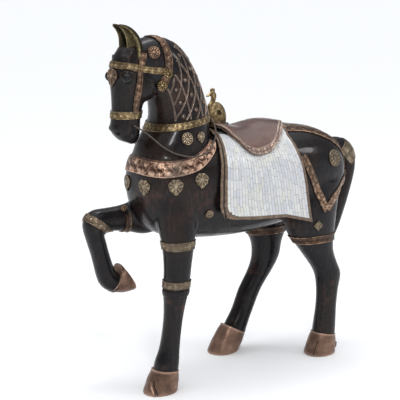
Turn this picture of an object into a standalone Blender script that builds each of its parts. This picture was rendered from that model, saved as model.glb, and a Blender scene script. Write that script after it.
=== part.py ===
"""Painted wooden parade horse with sheet-metal harness, brass ears, copper-sheathed hooves and a pearl cloth.

The horse faces -X, its left side is -Y, and it stands on z = 0 with the right foreleg raised.
The free form is drawn in centimetres on a horse 106 tall, with x counted from the point under
the withers, and every such point goes through at(), which scales it to HORSE_HEIGHT.
"""
import math

import bmesh
import bpy
import numpy as np
from mathutils import Matrix, Vector
from mathutils.bvhtree import BVHTree

# Driving sizes in metres
HORSE_HEIGHT = 1.06
GAP = 0.0003
BAND_THICKNESS = 0.0044
BAND_BED = 0.004
BRIDLE_WIDTH = 0.017
COLLAR_WIDTH = 0.052
COLLAR_END_WIDTH = 0.026
CROUP_STRAP_WIDTH = 0.036
HIP_STRAP_WIDTH = 0.026
ROSETTE_HEIGHT = 0.006
BROW_PENDANT_LENGTH = 0.050
CLOTH_THICKNESS = 0.009
CLOTH_BED = 0.016
SADDLE_THICKNESS = 0.010
SADDLE_BED = 0.006
REIN_DIAMETER = 0.0045

# Proportions of the free form
DRAWN_HEIGHT = 106.0
CM = HORSE_HEIGHT / DRAWN_HEIGHT
MIDDLE_X = 13.0
VOXEL = 0.65 * CM
BODY_FACES = 2140
SECTION_POWER = 2.25
OVAL_SIDES = 28
STEP = 2.0 * CM
BAND_STEP = 2.0 * CM
COLLAR_STEP = 2.8 * CM

SIDES = {"left": -1, "right": 1}
MODEL = "wooden_horse"
CUTTERS = "cutters"

WOOD = ("painted_wood", (0.035, 0.028, 0.028), 0.38, 0.0)
BRASS = ("aged_brass", (0.55, 0.38, 0.15), 0.38, 0.9)
COPPER = ("aged_copper", (0.55, 0.27, 0.16), 0.40, 0.9)
HOOF_COPPER = ("hoof_copper", (0.33, 0.17, 0.11), 0.34, 0.8)
PEARL = ("pearl_tile", (0.78, 0.79, 0.78), 0.22, 0.0)
LEATHER = ("saddle_copper", (0.20, 0.11, 0.08), 0.36, 0.3)
CORD = ("dark_cord", (0.03, 0.025, 0.022), 0.75, 0.0)

# Oval sections: x, y, z of the middle, tilt of the long axis, half length, half width
TRUNK = [
    (-22.9, 0, 60.5, 90, 3.0, 3.0),
    (-21.9, 0, 60.2, 90, 7.5, 6.8),
    (-19.0, 0, 59.4, 90, 12.0, 10.2),
    (-13.0, 0, 58.6, 90, 14.8, 12.2),
    (-3.0, 0, 58.2, 90, 16.0, 12.9),
    (8.0, 0, 57.2, 90, 15.7, 13.1),
    (18.0, 0, 57.4, 90, 15.7, 13.1),
    (28.0, 0, 58.4, 90, 15.4, 13.3),
    (37.0, 0, 59.0, 90, 14.4, 13.2),
    (44.0, 0, 59.2, 90, 12.4, 12.0),
    (49.0, 0, 58.2, 90, 10.2, 9.8),
    (52.0, 0, 57.6, 90, 6.0, 6.0),
]
NECK = [
    (-10.5, 0, 60.0, 0, 11.0, 10.2),
    (-10.1, 0, 70.0, 0, 11.3, 9.8),
    (-8.0, 0, 78.0, 4, 8.9, 8.6),
    (-8.8, 0, 84.0, 12, 8.1, 7.7),
    (-10.9, 0, 89.6, 28, 7.7, 7.1),
    (-14.3, 0, 94.0, 48, 7.8, 6.4),
    (-18.8, 0, 96.4, 68, 6.6, 5.7),
    (-23.5, 0, 96.4, 85, 4.6, 4.8),
]
HEAD = [
    (-23.8, 0, 100.0, 0, 2.4, 3.0),
    (-24.5, 0, 98.0, 0, 3.7, 4.2),
    (-24.8, 0, 95.0, 0, 4.8, 4.8),
    (-24.6, 0, 91.0, 0, 5.5, 4.8),
    (-24.6, 0, 87.0, 0, 5.2, 4.4),
    (-25.2, 0, 83.0, 0, 4.5, 3.8),
    (-25.8, 0, 79.0, 0, 4.3, 3.6),
    (-26.1, 0, 76.3, -8, 4.5, 3.8),
    (-26.2, 0, 74.3, -20, 4.0, 3.4),
    (-26.0, 0, 72.8, -22, 2.2, 2.0),
]
FORE_STANDING = [
    (-13.5, 6.5, 57.0, 0, 7.0, 5.2),
    (-13.8, 8.0, 49.0, 0, 6.0, 4.8),
    (-14.2, 9.2, 42.5, 0, 4.7, 4.2),
    (-14.7, 9.6, 36.0, 0, 4.0, 3.7),
    (-15.3, 9.7, 30.0, 0, 3.8, 3.6),
    (-15.9, 9.8, 25.5, 0, 3.2, 3.0),
    (-16.7, 9.9, 20.0, 0, 2.8, 2.7),
    (-17.8, 9.9, 13.0, 0, 3.0, 2.8),
    (-18.8, 9.9, 8.6, 0, 3.7, 3.3),
    (-19.3, 9.9, 5.0, 0, 3.7, 3.3),
]
HIND_STANDING = [
    (39.5, 7.0, 56.0, 0, 9.0, 6.0),
    (36.4, 8.4, 47.0, 0, 9.6, 5.6),
    (36.0, 9.3, 41.0, 0, 8.8, 4.9),
    (38.0, 9.8, 34.5, 0, 5.8, 4.2),
    (40.7, 10.2, 29.5, 0, 4.7, 3.8),
    (42.4, 10.4, 26.0, 0, 4.4, 3.7),
    (42.3, 10.5, 21.0, 0, 3.6, 3.2),
    (41.9, 10.5, 15.0, 0, 3.4, 3.1),
    (41.3, 10.5, 8.6, 0, 3.7, 3.4),
    (41.0, 10.5, 5.0, 0, 3.7, 3.4),
]
HIND_FORWARD = [
    (39.0, 7.0, 56.0, 0, 9.0, 6.0),
    (35.4, 8.2, 47.0, 0, 9.6, 5.6),
    (32.6, 8.8, 40.5, 0, 8.6, 4.9),
    (32.7, 9.0, 34.5, 0, 5.5, 4.2),
    (32.4, 9.0, 29.5, 0, 4.8, 3.8),
    (30.2, 9.0, 25.0, 0, 4.2, 3.5),
    (26.0, 9.0, 19.0, 0, 3.9, 3.1),
    (23.0, 8.8, 13.0, 0, 3.7, 3.0),
    (20.0, 8.6, 7.8, 0, 4.0, 3.4),
    (18.0, 8.5, 3.0, 0, 4.2, 3.5),
]
FORE_RAISED = [
    (-9.0, 6.5, 51.6, 70, 8.0, 4.8),
    (-15.0, 7.8, 49.2, 80, 6.0, 4.5),
    (-21.0, 8.6, 48.7, 90, 4.1, 3.9),
    (-27.0, 9.0, 48.8, 95, 3.5, 3.5),
    (-30.6, 9.0, 48.6, 115, 3.7, 3.5),
    (-31.9, 9.0, 46.6, 150, 3.5, 3.5),
    (-31.0, 9.0, 42.8, 170, 3.0, 3.1),
    (-29.4, 9.0, 37.5, 172, 2.9, 2.9),
    (-28.0, 9.0, 33.0, 180, 3.1, 3.0),
    (-26.4, 9.0, 30.5, 210, 3.5, 3.3),
    (-24.0, 9.0, 29.6, 235, 3.9, 3.5),
    (-21.0, 9.0, 28.0, 245, 4.2, 3.5),
]
CHEEK = (-21.3, 3.0, 88.6)
CHEEK_SIZE = (4.4, 2.4, 4.3)
EYE = (-27.4, 3.9, 91.6)
EYE_SIZE = (1.9, 1.5, 1.5)
SKULL_KNOB = (-24.7, 2.1, 98.0)
SKULL_KNOB_SIZE = (2.3, 2.1, 2.4)
DOCK = [
    (45.0, 0, 61.5, 120, 3.5, 3.2),
    (50.0, 0, 64.4, 112, 3.1, 3.0),
    (54.4, 0, 64.8, 85, 3.0, 2.9),
    (57.9, 0, 62.4, 45, 3.0, 2.9),
    (58.8, 0, 57.8, 10, 2.9, 2.9),
    (56.9, 0, 51.0, -18, 2.9, 2.9),
    (54.3, 0, 44.0, -22, 2.9, 2.9),
    (52.0, 0, 37.5, -22, 2.5, 2.5),
    (49.8, 0, 31.5, -20, 1.2, 1.2),
]

# Hooves: side, coronet (x, z, tilt, half length), sole (x, z, tilt, half length)
HOOF_WIDTH = 4.3
CORONET_WIDTH = 3.7
HOOF_SIDES = 16
HOOVES = {
    "hoof_fore_left": (-9.9, (-19.3, 6.6, -8, 4.1), (-21.2, 0.0, 0, 5.1)),
    "hoof_hind_left": (-10.5, (41.1, 6.8, -10, 4.1), (39.5, 0.0, 0, 5.0)),
    "hoof_hind_right": (8.5, (19.0, 7.2, -28, 4.4), (14.6, 0.0, 0, 4.9)),
    "hoof_fore_right": (9.0, (-25.2, 30.5, 62, 4.1), (-20.8, 30.4, 122, 4.5)),
}

# Harness routes, drawn on one side: x, y, z
BROWBAND = [(-30.4, 0, 95.2), (-29.4, 3.2, 94.9), (-26.6, 4.9, 94.5), (-22.0, 5.0, 93.5), (-15.4, 6.2, 92.8)]
CROWN_STRAP = [(-22.5, 4.7, 98.3), (-23.0, 4.9, 96.2), (-23.6, 5.0, 93.8)]
CHEEK_STRAP = [(-23.7, 5.0, 93.6), (-24.0, 4.9, 90.0), (-24.5, 4.4, 86.0), (-24.9, 3.8, 81.0)]
THROAT_BAND = [
    (-17.2, 0, 102.9),
    (-16.4, 2.8, 101.8),
    (-15.4, 5.3, 98.7),
    (-15.1, 6.1, 95.6),
    (-15.4, 6.3, 92.6),
    (-16.4, 5.8, 89.8),
    (-17.3, 5.0, 87.0),
]
COLLAR = [
    (-22.9, 0, 66.2),
    (-21.6, 6.2, 65.8),
    (-18.2, 9.6, 65.4),
    (-13.4, 11.0, 65.8),
    (-8.4, 11.0, 66.8),
    (-3.4, 9.8, 69.8),
    (-0.9, 7.6, 72.2),
]
CROUP_STRAP = [
    (28.0, 5.0, 73.4),
    (34.0, 5.6, 72.6),
    (39.6, 6.8, 71.0),
    (45.0, 7.6, 68.4),
    (49.8, 7.6, 64.0),
    (52.2, 7.2, 59.0),
]
HIP_STRAP_FRONT = [(29.4, 12.6, 65.6), (32.4, 13.2, 59.3), (35.4, 13.2, 53.4), (38.2, 13.8, 47.4)]
HIP_STRAP_REAR = [(38.4, 13.8, 48.0), (41.8, 13.2, 51.0), (46.0, 11.4, 53.8), (51.8, 7.4, 57.4)]

# Rings round the limbs: x, y, z, tilt of the plane, reach
RINGS = {
    "noseband": ((-25.5, 0, 80.8, 0), BRASS, 0.017),
    "neck_band": ((-8.2, 0, 77.6, 8), BRASS, 0.018),
    "band_fore_left_knee": ((-15.2, -9.8, 31.8, 0), BRASS, 0.018),
    "band_fore_right_knee": ((-30.8, 9.0, 47.8, -38), BRASS, 0.018),
    "band_hind_left": ((37.0, -9.4, 38.6, 0), COPPER, 0.020),
    "band_hind_right": ((34.2, 8.9, 38.6, 0), COPPER, 0.020),
}
RING_REACH = 0.17
ARCS = {
    "band_fore_left_upper": ((-14.3, -9.3, 43.2, 0), BRASS, 0.020, (150, 390)),
    "band_fore_right_upper": ((-22.2, 8.7, 48.7, 94), COPPER, 0.020, (60, 300)),
}
ARC_REACH = 0.07
RING_SAG = 0.0006
SHARPEST = 1.5

# Rosettes and pendants: x, y, z and radius or length
ROSETTES = {
    "rosette_jaw": (-19.5, 5.3, 98.2, 0.018),
    "rosette_neck": (-11.0, 9.2, 73.6, 0.019),
    "rosette_hip": (42.9, 11.7, 63.3, 0.029),
    "rosette_flank": (34.6, 13.8, 43.2, 0.014),
    "rosette_girth": (-5.2, 11.8, 51.6, 0.014),
}
PENDANTS = {
    "pendant_chest": (-22.7, 4.7, 60.4, 0.050),
    "pendant_shoulder": (-16.3, 11.2, 60.8, 0.050),
    "pendant_girth": (-8.2, 12.3, 62.0, 0.048),
    "pendant_withers": (-6.2, 9.0, 73.9, 0.034),
}
BROW_PENDANT = (-30.0, 0, 91.4)
FOREARM_ROSETTE = (-23.0, 6.0, 52.6)
SMALL_ROSETTE = 0.012

# Cloth: the fall of its outer face from the spine to the hem, and its front, rear and lower edges
CLOTH_LINE = [(0, 75.0), (6.5, 73.6), (11.2, 69.8), (13.4, 64.4), (14.2, 58.6), (14.5, 53.0), (14.7, 48.0)]
CLOTH_FRONT = [(0, 2.2), (0.35, -0.6), (0.6, -2.2), (0.85, -2.9), (1.0, -2.2)]
CLOTH_REAR = [(0, 29.0), (0.25, 26.6), (0.45, 28.0), (0.7, 30.2), (1.0, 32.0)]
CLOTH_HEM = [(0, 49.8), (0.35, 48.4), (0.7, 47.6), (1.0, 44.8)]
CLOTH_CELLS = 8

# Saddle: x, arc from the spine to the edge, height of the seat on the spine
SADDLE = [
    (3.6, 2.6, 76.3),
    (5.6, 4.2, 76.5),
    (7.4, 7.6, 76.2),
    (9.2, 11.8, 75.4),
    (11.8, 14.0, 74.7),
    (14.8, 14.2, 75.0),
    (17.8, 13.4, 75.7),
    (20.8, 11.6, 76.2),
    (23.6, 8.8, 76.1),
    (26.2, 5.8, 75.8),
    (28.2, 2.6, 75.4),
]
SADDLE_ROWS = 11
SADDLE_CELLS = 4
SEAT_REACH = 7.5

PEACOCK_BODY = [
    (6.2, 0, 75.6, 0, 3.0, 1.7),
    (6.1, 0, 77.2, 0, 3.2, 1.8),
    (6.0, 0, 78.8, 0, 3.2, 1.7),
    (5.9, 0, 80.3, 0, 2.7, 1.4),
    (5.7, 0, 81.5, 0, 1.9, 1.0),
    (5.6, 0, 82.2, 0, 0.9, 0.5),
]
PEACOCK_NECK = [
    (3.9, 0, 79.0, 20, 1.3, 1.0),
    (3.7, 0, 81.0, -12, 0.9, 0.8),
    (4.7, 0, 82.7, 0, 0.8, 0.7),
    (4.9, 0, 84.2, 20, 0.9, 0.8),
    (4.1, 0, 84.8, 75, 0.8, 0.7),
    (2.9, 0, 84.3, 70, 0.3, 0.3),
]
PEACOCK_EYE = (5.7, 0, 79.2)
PEACOCK_HOLE = 0.0055
PEACOCK_VOXEL = 0.0022
PEACOCK_FACES = 220

# Rein on the left side, from the corner of the mouth to the withers
REIN_SIDE = [
    (-25.6, 4.05, 78.0),
    (-22.9, 5.3, 76.2),
    (-20.4, 6.8, 73.8),
    (-18.6, 8.6, 71.8),
    (-15.6, 10.2, 69.9),
    (-11.6, 11.5, 68.8),
    (-8.0, 11.8, 68.8),
    (-4.6, 11.2, 70.0),
    (-1.6, 9.6, 72.4),
    (0.4, 7.4, 75.0),
    (1.6, 4.0, 77.4),
]
REIN_TOP = (2.0, 0.0, 78.9)


def at(x, y, z):
    """World place of a drawn point."""
    return Vector(((x - MIDDLE_X) * CM, y * CM, z * CM))


def clear_scene():
    for obj in list(bpy.data.objects):
        bpy.data.objects.remove(obj, do_unlink=True)


def collection(name):
    made = bpy.data.collections.new(name)
    bpy.context.scene.collection.children.link(made)
    return made


def material(finish):
    name, colour, roughness, metallic = finish
    made = bpy.data.materials.get(name)
    if made is None:
        made = bpy.data.materials.new(name)
        made.use_nodes = True
        shader = made.node_tree.nodes["Principled BSDF"]
        shader.inputs["Base Color"].default_value = (*colour, 1)
        shader.inputs["Roughness"].default_value = roughness
        shader.inputs["Metallic"].default_value = metallic
    return made


def make_object(name, bm, finish):
    """A named object from a bmesh, with faces pointing out."""
    bmesh.ops.recalc_face_normals(bm, faces=bm.faces)
    mesh = bpy.data.meshes.new(name)
    bm.to_mesh(mesh)
    bm.free()
    obj = bpy.data.objects.new(name, mesh)
    bpy.data.collections[MODEL].objects.link(obj)
    mesh.materials.append(material(finish))
    mesh.shade_smooth()
    mesh.set_sharp_from_angle(angle=math.radians(40))
    return obj


def curve_at(rows, t):
    """Numbers on a smooth curve through the given rows, t rows on from the first."""
    rows = np.array(rows, float)
    ends = np.vstack([2 * rows[0] - rows[1], rows, 2 * rows[-1] - rows[-2]])
    i = min(int(t), len(rows) - 2)
    u = t - i
    a, b, c, d = ends[i : i + 4]
    return 0.5 * (2 * b + (c - a) * u + (2 * a - 5 * b + 4 * c - d) * u**2 + (3 * b - a - 3 * c + d) * u**3)


def curve_through(rows, count):
    """Evenly counted rows of numbers on that curve."""
    return [curve_at(rows, t) for t in np.linspace(0, len(rows) - 1, count)]


def lengthwise(rows):
    """How many sections a loft through these rows needs."""
    places = [at(*row[:3]) for row in rows]
    length = sum((b - a).length for a, b in zip(places, places[1:]))
    return max(len(rows), round(length / STEP) + 1)


def oval(bm, row, sides=OVAL_SIDES, power=SECTION_POWER):
    """One oval ring of vertices, a little squarer than an ellipse."""
    x, y, z, tilt, along, across = row
    turn = math.radians(tilt)
    middle = at(x, y, z)
    long_axis = Vector((math.cos(turn), 0, math.sin(turn)))
    ring = []
    for i in range(sides):
        angle = math.tau * i / sides
        c, s = math.cos(angle), math.sin(angle)
        u = math.copysign(abs(c) ** (2 / power), c) * along * CM
        v = math.copysign(abs(s) ** (2 / power), s) * across * CM
        ring.append(bm.verts.new(middle + long_axis * u + Vector((0, v, 0))))
    return ring


def skin(bm, rings):
    """Walls between rings of equal count, with both ends closed."""
    for low, high in zip(rings, rings[1:]):
        for i in range(len(low)):
            j = (i + 1) % len(low)
            bm.faces.new((low[i], low[j], high[j], high[i]))
    bm.faces.new(rings[0][::-1])
    bm.faces.new(rings[-1])


def loft(rows, sides=OVAL_SIDES, count=None, power=SECTION_POWER):
    """A closed limb through oval sections."""
    bm = bmesh.new()
    rows = curve_through(rows, count or lengthwise(rows))
    skin(bm, [oval(bm, row, sides, power) for row in rows])
    bmesh.ops.recalc_face_normals(bm, faces=bm.faces)
    return bm


def lump(place, size):
    """A ball-shaped swelling of the carving."""
    bm = bmesh.new()
    bmesh.ops.create_uvsphere(bm, u_segments=20, v_segments=12, radius=1.0)
    scale = Matrix.Diagonal((*(s * CM for s in size), 1.0))
    bmesh.ops.transform(bm, matrix=Matrix.Translation(at(*place)) @ scale, verts=bm.verts)
    return bm


def mirrored(rows, side):
    return [(row[0], row[1] * side, *row[2:]) for row in rows]


def both_sides(place, size):
    return [lump((place[0], place[1] * side, place[2]), size) for side in SIDES.values()]


def gathered(name, pieces, finish):
    """Several closed shells in one mesh."""
    whole = bmesh.new()
    for piece in pieces:
        mesh = bpy.data.meshes.new("shell")
        piece.to_mesh(mesh)
        piece.free()
        whole.from_mesh(mesh)
        bpy.data.meshes.remove(mesh)
    return make_object(name, whole, finish)


def baked(obj):
    """Replace an object's mesh by its modified one."""
    graph = bpy.context.evaluated_depsgraph_get()
    mesh = bpy.data.meshes.new_from_object(obj.evaluated_get(graph))
    old = obj.data
    obj.modifiers.clear()
    obj.data = mesh
    bpy.data.meshes.remove(old)
    mesh.name = obj.name
    return obj


def fused(obj, voxel, smoothing, faces):
    """Melt overlapping shells into one carved skin with about this many triangles."""
    melt = obj.modifiers.new("melt", "REMESH")
    melt.mode = "VOXEL"
    melt.voxel_size = voxel
    relax = obj.modifiers.new("relax", "SMOOTH")
    relax.factor = 0.5
    relax.iterations = smoothing
    split = obj.modifiers.new("split", "TRIANGULATE")
    split.min_vertices = 4
    baked(obj)
    thin = obj.modifiers.new("thin", "DECIMATE")
    thin.ratio = min(1.0, faces / len(obj.data.polygons))
    return baked(obj)


def grown(obj, amount=GAP):
    """A cutter the shape of a piece, larger all round by the given amount."""
    bm = bmesh.new()
    bm.from_mesh(obj.data)
    bm.normal_update()
    for vert in bm.verts:
        vert.co += vert.normal * amount * min(SHARPEST, vert.calc_shell_factor())
    mesh = bpy.data.meshes.new(obj.name + "_clearance")
    bm.to_mesh(mesh)
    bm.free()
    return as_cutter(bpy.data.objects.new(mesh.name, mesh))


def as_cutter(obj):
    bpy.data.collections[CUTTERS].objects.link(obj)
    obj.hide_render = True
    obj.display_type = "WIRE"
    return obj


def cut(obj, cutter, operation="DIFFERENCE"):
    step = obj.modifiers.new("cut", "BOOLEAN")
    step.operation = operation
    step.object = cutter
    step.solver = "EXACT"
    return step


def largest_shell(obj):
    """Drop the slivers that a cut leaves beside the main piece."""
    bm = bmesh.new()
    bm.from_mesh(obj.data)
    left = set(bm.faces)
    shells = []
    while left:
        stack = [left.pop()]
        shell = list(stack)
        while stack:
            face = stack.pop()
            for edge in face.edges:
                for other in edge.link_faces:
                    if other in left:
                        left.remove(other)
                        shell.append(other)
                        stack.append(other)
        shells.append(shell)
    keep = max(shells, key=lambda faces: sum(face.calc_area() for face in faces))
    drop = [face for shell in shells if shell is not keep for face in shell]
    bmesh.ops.delete(bm, geom=drop, context="FACES")
    bm.to_mesh(obj.data)
    bm.free()
    return obj


def fitted(obj, *cutters):
    """Cut a piece back to its neighbours' clearances."""
    for cutter in cutters:
        cut(obj, cutter)
    return largest_shell(baked(obj))


class Skin:
    """The surface of a finished piece, for laying trim on it."""

    def __init__(self, obj):
        bm = bmesh.new()
        bm.from_mesh(obj.data)
        self.tree = BVHTree.FromBMesh(bm)
        bm.free()

    def nearest(self, place):
        spot, normal, _, _ = self.tree.find_nearest(place)
        return spot, normal

    def smooth_normal(self, place, reach=0.012):
        """Normal averaged over a few spots around the place."""
        spot, normal = self.nearest(place)
        total = normal.copy()
        side = normal.orthogonal().normalized()
        for other in (side, -side, normal.cross(side), side.cross(normal)):
            total += self.nearest(spot + other * reach)[1]
        return total.normalized()


def sheet_on(skin_of, rows, closed, height, bed):
    """A strip of metal: rows of places across it, lifted by height and bedded into the wood."""
    bm = bmesh.new()
    rings = []
    for row in rows:
        low, high = [], []
        for place in row:
            spot, _ = skin_of.nearest(place)
            out = skin_of.smooth_normal(spot)
            low.append(bm.verts.new(spot - out * bed))
            high.append(bm.verts.new(spot + out * height))
        rings.append(low + high[::-1])
    if closed:
        for low, high in zip(rings, rings[1:] + rings[:1]):
            for i in range(len(low)):
                j = (i + 1) % len(low)
                bm.faces.new((low[i], low[j], high[j], high[i]))
    else:
        skin(bm, rings)
    return bm


def cross_rows(skin_of, line, width, cells):
    """Places across a band that follows a line over the surface."""
    rows = []
    for i, spot in enumerate(line):
        before = line[max(i - 1, 0)]
        after = line[min(i + 1, len(line) - 1)]
        out = skin_of.smooth_normal(spot)
        side = (after - before).cross(out).normalized()
        share = width(i / (len(line) - 1)) if callable(width) else width
        rows.append([spot + side * share * (k / cells - 0.5) for k in range(cells + 1)])
    return rows


def line_on(skin_of, rows, spacing):
    """Evenly spaced spots on the surface along a smooth curve through the rows."""
    dense = [skin_of.nearest(at(*row))[0] for row in curve_through(rows, 20 * len(rows))]
    lengths = [0.0]
    for a, b in zip(dense, dense[1:]):
        lengths.append(lengths[-1] + (b - a).length)
    count = max(3, round(lengths[-1] / spacing) + 1)
    spots = []
    for want in np.linspace(0, lengths[-1], count):
        i = min(max(int(np.searchsorted(lengths, want)) - 1, 0), len(dense) - 2)
        span = lengths[i + 1] - lengths[i]
        spots.append(dense[i].lerp(dense[i + 1], (want - lengths[i]) / max(span, 1e-9)))
    return spots


def across_middle(rows):
    """A left-side route from the middle line, continued on the right side."""
    left = [(x, -y, z) for x, y, z in rows]
    right = [(x, y, z) for x, y, z in rows[1:]]
    return left[::-1] + right


def laid(name, bm, finish, clearances):
    """A piece cut back to its neighbours, and its own clearance for those that butt against it."""
    obj = make_object(name, bm, finish)
    around = grown(obj)
    fitted(obj, *clearances)
    return around


def band(name, skin_of, clearances, rows, width, finish, cells=1, spacing=BAND_STEP):
    """A sheet-metal band nailed along a route."""
    line = line_on(skin_of, rows, spacing)
    bm = sheet_on(skin_of, cross_rows(skin_of, line, width, cells), False, BAND_THICKNESS, BAND_BED)
    return laid(name, bm, finish, clearances)


def ring_band(name, skin_of, clearances, place, reach, width, finish, span=None):
    """A band round a limb, in the plane across it: all the way, or over a span of degrees."""
    x, y, z, tilt = place
    turn = math.radians(tilt)
    middle = at(x, y, z)
    long_axis = Vector((math.cos(turn), 0, math.sin(turn)))
    limb_axis = Vector((-math.sin(turn), 0, math.cos(turn)))

    def spot(angle, shift=0.0):
        out = long_axis * math.cos(angle) + Vector((0, math.sin(angle), 0))
        start = middle + limb_axis * shift
        return skin_of.tree.ray_cast(start, out, reach)[0] or start + out * reach

    first, last = (math.radians(a) for a in span or (0, 360))
    girth = max((spot(first + (last - first) * i / 8) - middle).length for i in range(8))
    chord = math.sqrt(8 * girth * RING_SAG)
    spots = math.ceil(abs(last - first) * girth / chord)
    angles = [first + (last - first) * i / spots for i in range(spots + (1 if span else 0))]
    rows = [[spot(angle, width * edge) for edge in (-0.5, 0.5)] for angle in angles]
    bm = sheet_on(skin_of, rows, span is None, BAND_THICKNESS, BAND_BED)
    return laid(name, bm, finish, clearances)


def stud(name, skin_of, clearances, place, outline, finish):
    """A small embossed plate on the surface: its outline is rings of (across, down, lift)."""
    spot, _ = skin_of.nearest(at(*place))
    out = skin_of.smooth_normal(spot)
    side = Vector((0, 0, 1)).cross(out)
    side = side.normalized() if side.length > 0.1 else Vector((0, 1, 0))
    down = side.cross(out).normalized()
    if down.z > 0:
        down = -down
    bm = bmesh.new()
    rings = []
    for ring in outline:
        made = []
        for a, b, lift in ring:
            foot, _ = skin_of.nearest(spot + side * a + down * b)
            level = foot + out * max(0.0, (spot - foot).dot(out)) * 0.35
            made.append(bm.verts.new(level + out * lift * ROSETTE_HEIGHT))
        rings.append(made)
    skin(bm, rings)
    return laid(name, bm, finish, clearances)


def round_outline(radius, sides=9):
    """A domed rosette: bed, rim, hollow and boss."""
    rings = []
    for share, lift in ((1.0, -0.9), (1.0, 0.5), (0.5, 1.0)):
        ring = [math.tau * i / sides for i in range(sides)]
        rings.append([(radius * share * math.cos(t), radius * share * math.sin(t), lift) for t in ring])
    return rings


def leaf_outline(length, sides=9):
    """A round head running down to a point."""
    rings = []
    for share, lift in ((1.0, -1.0), (1.0, 0.5), (0.5, 1.0)):
        ring = []
        for i in range(sides):
            t = math.tau * i / sides
            point = max(0.0, math.sin(t)) ** 6
            across = 0.42 * length * math.cos(t) * share
            ring.append((across, (0.40 * math.sin(t) + 0.22 * point) * length * share, lift))
        rings.append(ring)
    return rings


def build_body():
    """Trunk, neck, head, legs and tail carved as one, cut flat at the hooves."""
    shells = [loft(TRUNK), loft(NECK), loft(HEAD), loft(FORE_RAISED), loft(HIND_FORWARD), loft(DOCK)]
    shells += [loft(mirrored(FORE_STANDING, -1)), loft(mirrored(HIND_STANDING, -1))]
    shells += both_sides(CHEEK, CHEEK_SIZE)
    shells += both_sides(EYE, EYE_SIZE)
    shells += both_sides(SKULL_KNOB, SKULL_KNOB_SIZE)
    body = gathered("horse_body", shells, WOOD)
    fused(body, VOXEL, 6, BODY_FACES)
    for name, (side, coronet, _) in HOOVES.items():
        cut(body, foot_cutter(name, side, coronet))
    return baked(body)


def foot_cutter(name, side, coronet):
    """A block below the coronet plane, which trims the leg flat above its hoof."""
    x, z, tilt, half = coronet
    turn = math.radians(tilt)
    down = Vector((math.sin(turn), 0, -math.cos(turn)))
    bm = bmesh.new()
    bmesh.ops.create_cube(bm, size=1.0)
    depth = 2.2 * half * CM
    size = Matrix.Diagonal((3.2 * half * CM, 3.2 * half * CM, depth, 1.0))
    place = Matrix.Translation(at(x, side, z) + down * (depth / 2 - GAP))
    bmesh.ops.transform(bm, matrix=place @ Matrix.Rotation(-turn, 4, "Y") @ size, verts=bm.verts)
    mesh = bpy.data.meshes.new(name + "_cut")
    bm.to_mesh(mesh)
    bm.free()
    return as_cutter(bpy.data.objects.new(mesh.name, mesh))


def build_hooves():
    """Copper-sheathed feet, from the coronet down to a flat sole."""
    for name, (side, coronet, sole) in HOOVES.items():
        top = np.array([coronet[0], side, coronet[1], coronet[2], coronet[3], CORONET_WIDTH])
        base = np.array([sole[0], side, sole[1], sole[2], sole[3], HOOF_WIDTH])
        bm = bmesh.new()
        rings = []
        for share, swell in ((0.0, 1.0), (0.15, 1.03), (0.7, 1.03), (1.0, 0.97)):
            row = base + (top - base) * share
            row[4:] *= swell
            rings.append(oval(bm, row, HOOF_SIDES))
        skin(bm, rings)
        make_object(name, bm, HOOF_COPPER)


def build_ears(clearance):
    """Brass horns with forward-curled tips."""
    around = {}
    for side_name, side in SIDES.items():
        rows = [
            (-24.2, 3.0 * side, 97.0, 0, 2.2, 1.7),
            (-24.3, 3.1 * side, 99.5, 4, 2.4, 1.8),
            (-24.6, 2.9 * side, 101.6, 14, 2.2, 1.6),
            (-25.4, 2.5 * side, 103.5, 30, 1.7, 1.2),
            (-26.8, 2.0 * side, 105.0, 52, 1.0, 0.8),
            (-28.4, 1.7 * side, 105.8, 68, 0.4, 0.4),
        ]
        bm = loft(rows, sides=8, count=8, power=2.0)
        around[side_name] = laid("ear_" + side_name, bm, BRASS, [clearance])
    return around


def build_rings(body_skin, on_wood):
    """Bands round the muzzle, the neck and the legs."""
    around = {}
    for name, (place, finish, width) in RINGS.items():
        around[name] = ring_band(name, body_skin, [on_wood], place, RING_REACH, width, finish)
    for name, (place, finish, width, span) in ARCS.items():
        around[name] = ring_band(name, body_skin, [on_wood], place, ARC_REACH, width, finish, span)
    return around


def build_bridle(body_skin, on_wood, around_nose, around_ears):
    """Throat, brow, crown and cheek bands, each butted to the next with a gap."""
    throat = band("throat_band", body_skin, [on_wood], across_middle(THROAT_BAND), BRIDLE_WIDTH, BRASS)
    brow = band("browband", body_skin, [on_wood, throat], across_middle(BROWBAND), BRIDLE_WIDTH, BRASS)
    for side_name, side in SIDES.items():
        beside = [around_ears[side_name], on_wood, brow]
        band("crown_strap_" + side_name, body_skin, beside, mirrored(CROWN_STRAP, side), BRIDLE_WIDTH, BRASS, cells=2)
        beside = [on_wood, brow, around_nose]
        band("cheek_strap_" + side_name, body_skin, beside, mirrored(CHEEK_STRAP, side), BRIDLE_WIDTH, COPPER)
    leaf = leaf_outline(BROW_PENDANT_LENGTH)
    stud("pendant_brow", body_skin, [on_wood, brow], BROW_PENDANT, leaf, COPPER)


def build_collar(body_skin, clearances):
    """The wide breast collar, narrowing to the withers."""

    def width(share):
        return COLLAR_WIDTH + (COLLAR_END_WIDTH - COLLAR_WIDTH) * abs(2 * share - 1) ** 3

    rows = across_middle(COLLAR)
    band("breast_collar", body_skin, clearances, rows, width, COPPER, cells=2, spacing=COLLAR_STEP)


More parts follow.
